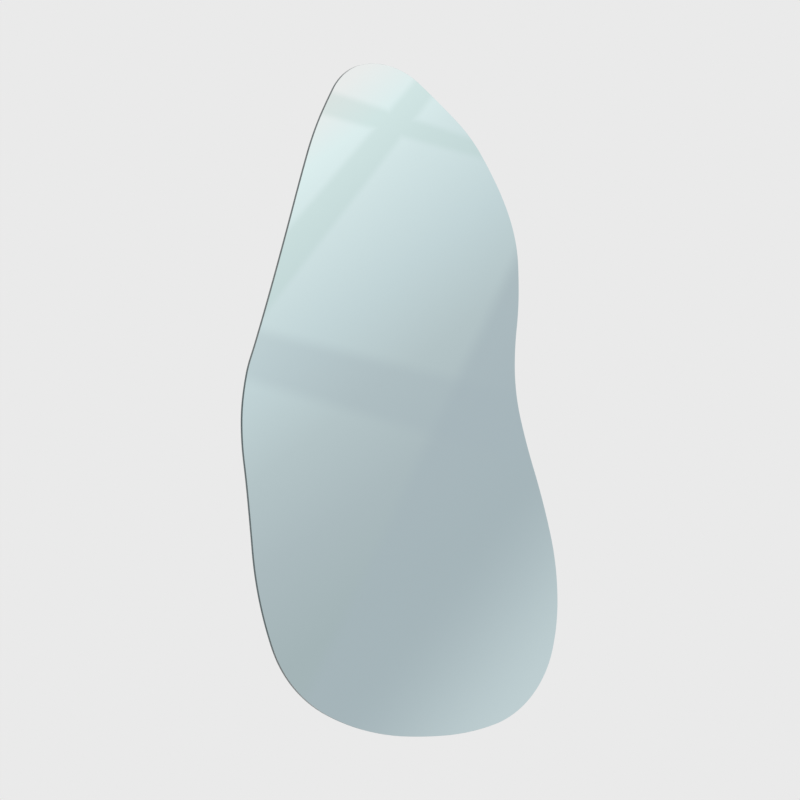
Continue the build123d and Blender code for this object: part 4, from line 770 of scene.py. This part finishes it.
# %% [markdown]
# ## The transformer
# The transformer is dull ferrite with a coil under glossy yellow tape, whose laps show paler. In CAD it
# is one node, so the finish tells core and coil apart by the height above or below the middle.
# %% Core and coil
# The core is the middle of the transformer; its taped coil stands out above and below it
CORE_HALF = 8.1 * MM
# In millimetres: from lap to lap of the tape, and how wide a lap is
LAP_PITCH, LAP_WIDTH = 2.4, 0.8
CORE_ROUGH, TAPE_ROUGH = 0.75, 0.3

middle = sum(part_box("driver_transformer"), Vector()) / 2
wound, tree, shader, place = new_finish("Ferrite core and taped coil")
height = add(tree, "ShaderNodeSeparateXYZ", {0: place}).outputs[2]
offset = add(tree, "ShaderNodeMath", {0: height, 1: middle.z}, operation="SUBTRACT")
offset = add(tree, "ShaderNodeMath", {0: offset.outputs[0]}, operation="ABSOLUTE")
coil = add(tree, "ShaderNodeMath", {0: offset.outputs[0], 1: CORE_HALF}, operation="GREATER_THAN").outputs[0]
core = two_tones(tree, mottle(tree, place, 1.5, 0.0, 1.0), "#232326", "#343438")
tape = two_tones(tree, wires(tree, place, 0, LAP_PITCH, LAP_WIDTH), "#C9A13A", "#E0BC5C")
skin = add(tree, "ShaderNodeMix", {0: coil, 6: core, 7: tape}, data_type="RGBA").outputs[2]
rough = add(tree, "ShaderNodeMapRange", {0: coil, 3: CORE_ROUGH, 4: TAPE_ROUGH}).outputs[0]
set_look(tree, shader, skin, rough)
print("middle of the core:", tuple(round(value, 4) for value in middle))

# %% [markdown]
# ## The capacitors
# Each capacitor is an aluminium can in a dark sleeve with a pale stripe, and its top is bare.
# All are one node in CAD, so the distance along the cans tells the bare tops from the sleeves.
# %% Cans
# The bare top of each can is a skin this deep at the end of the solids
BARE_TOP = 0.3 * MM
# In millimetres
STRIPE_PITCH, STRIPE_WIDTH = 10, 3

can_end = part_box("driver_capacitors")[1].x
sleeve, tree, shader, place = new_finish("Sleeved capacitor can")
along = add(tree, "ShaderNodeSeparateXYZ", {0: place}).outputs[0]
bare = add(tree, "ShaderNodeMath", {0: along, 1: can_end - BARE_TOP}, operation="GREATER_THAN").outputs[0]
stripe = wires(tree, place, 2, STRIPE_PITCH, STRIPE_WIDTH)
jacket = two_tones(tree, stripe, "#1B2438", "#8F97A6")
skin = add(tree, "ShaderNodeMix", {0: bare, 6: jacket, 7: linear("#C6C8CA")}, data_type="RGBA").outputs[2]
set_look(tree, shader, skin, mottle(tree, place, 6, 0.2, 0.3), bare)
print("cans end at", round(can_end, 4), "m across")

# %% [markdown]
# ## Light chips and earth wire
# A light chip that is off is a yellow window of phosphor grains in clear resin.
# An earth wire is green with a yellow band, so that nobody can take it for another.
# %% Phosphor and earth wire
# In millimetres along the earth wire; the rule is that green covers 30 to 70 in the hundred
BAND_PITCH, BAND_WIDTH = 2.2, 1.4
BAND_START, BAND_END = 0.4, 0.6

phosphor, tree, shader, place = new_finish("Phosphor under resin")
grains = mottle(tree, place, 0.6, 0.0, 1.0, detail=4.0)
set_look(tree, shader, two_tones(tree, grains, "#DDB347", "#EBCB6D"), 0.22)

earth_pvc, tree, shader, place = new_finish("Green and yellow PVC")
band = {0: wires(tree, place, 1, BAND_PITCH, BAND_WIDTH), 1: BAND_START, 2: BAND_END}
band = add(tree, "ShaderNodeMapRange", band).outputs[0]
set_look(tree, shader, two_tones(tree, band, "#3E8A3A", "#D6C636"), mottle(tree, place, 3, 0.34, 0.44))

print("finishes:", [material.name for material in bpy.data.materials][-6:])

# %% [markdown]
# ## Dressing the frame
# Each CAD node names the slot of its finish in the record, so a table from slot to material dresses
# all of them at once, and a repaint later needs one change. Replaced nodes are passed over.
# %% Materials on the CAD nodes
FINISHES = {
    "mirror": silvered_glass,
    "film": safety_film,
    "foam_tape": foam_tape,
    "anodised": anodised,
    "mill_aluminium": mill_aluminium,
    "zinc_sheet": galvanised,
    "zinc_screw": plated_steel,
    "black_plastic": black_nylon,
    "black_gloss": black_gloss,
    "white_plastic": white_pc,
    "grey_plastic": grey_abs,
    "yellow_plastic": yellow_case,
    "opal": opal_acrylic,
    "tape_white": tape_mask,
    "phosphor": phosphor,
    "board_green": green_board,
    "ferrite": wound,
    "can_sleeve": sleeve,
    "tinned_brass": tinned_brass,
    "white_lead": white_pvc,
    "black_lead": black_pvc,
    "earth_green": earth_pvc,
    "rubber": black_rubber,
}
REPLACED = {"mirror_glass", "spacer_screw_left", "spacer_screw_right"}
for part in frame["record"]["subparts"]:
    if part["node"] in REPLACED:
        continue
    mesh = CAD[part["node"]].data
    mesh.materials.clear()
    mesh.materials.append(FINISHES[part["material_slot"]])
print("finishes:", len(FINISHES), "on", len(CAD) - len(REPLACED), "nodes")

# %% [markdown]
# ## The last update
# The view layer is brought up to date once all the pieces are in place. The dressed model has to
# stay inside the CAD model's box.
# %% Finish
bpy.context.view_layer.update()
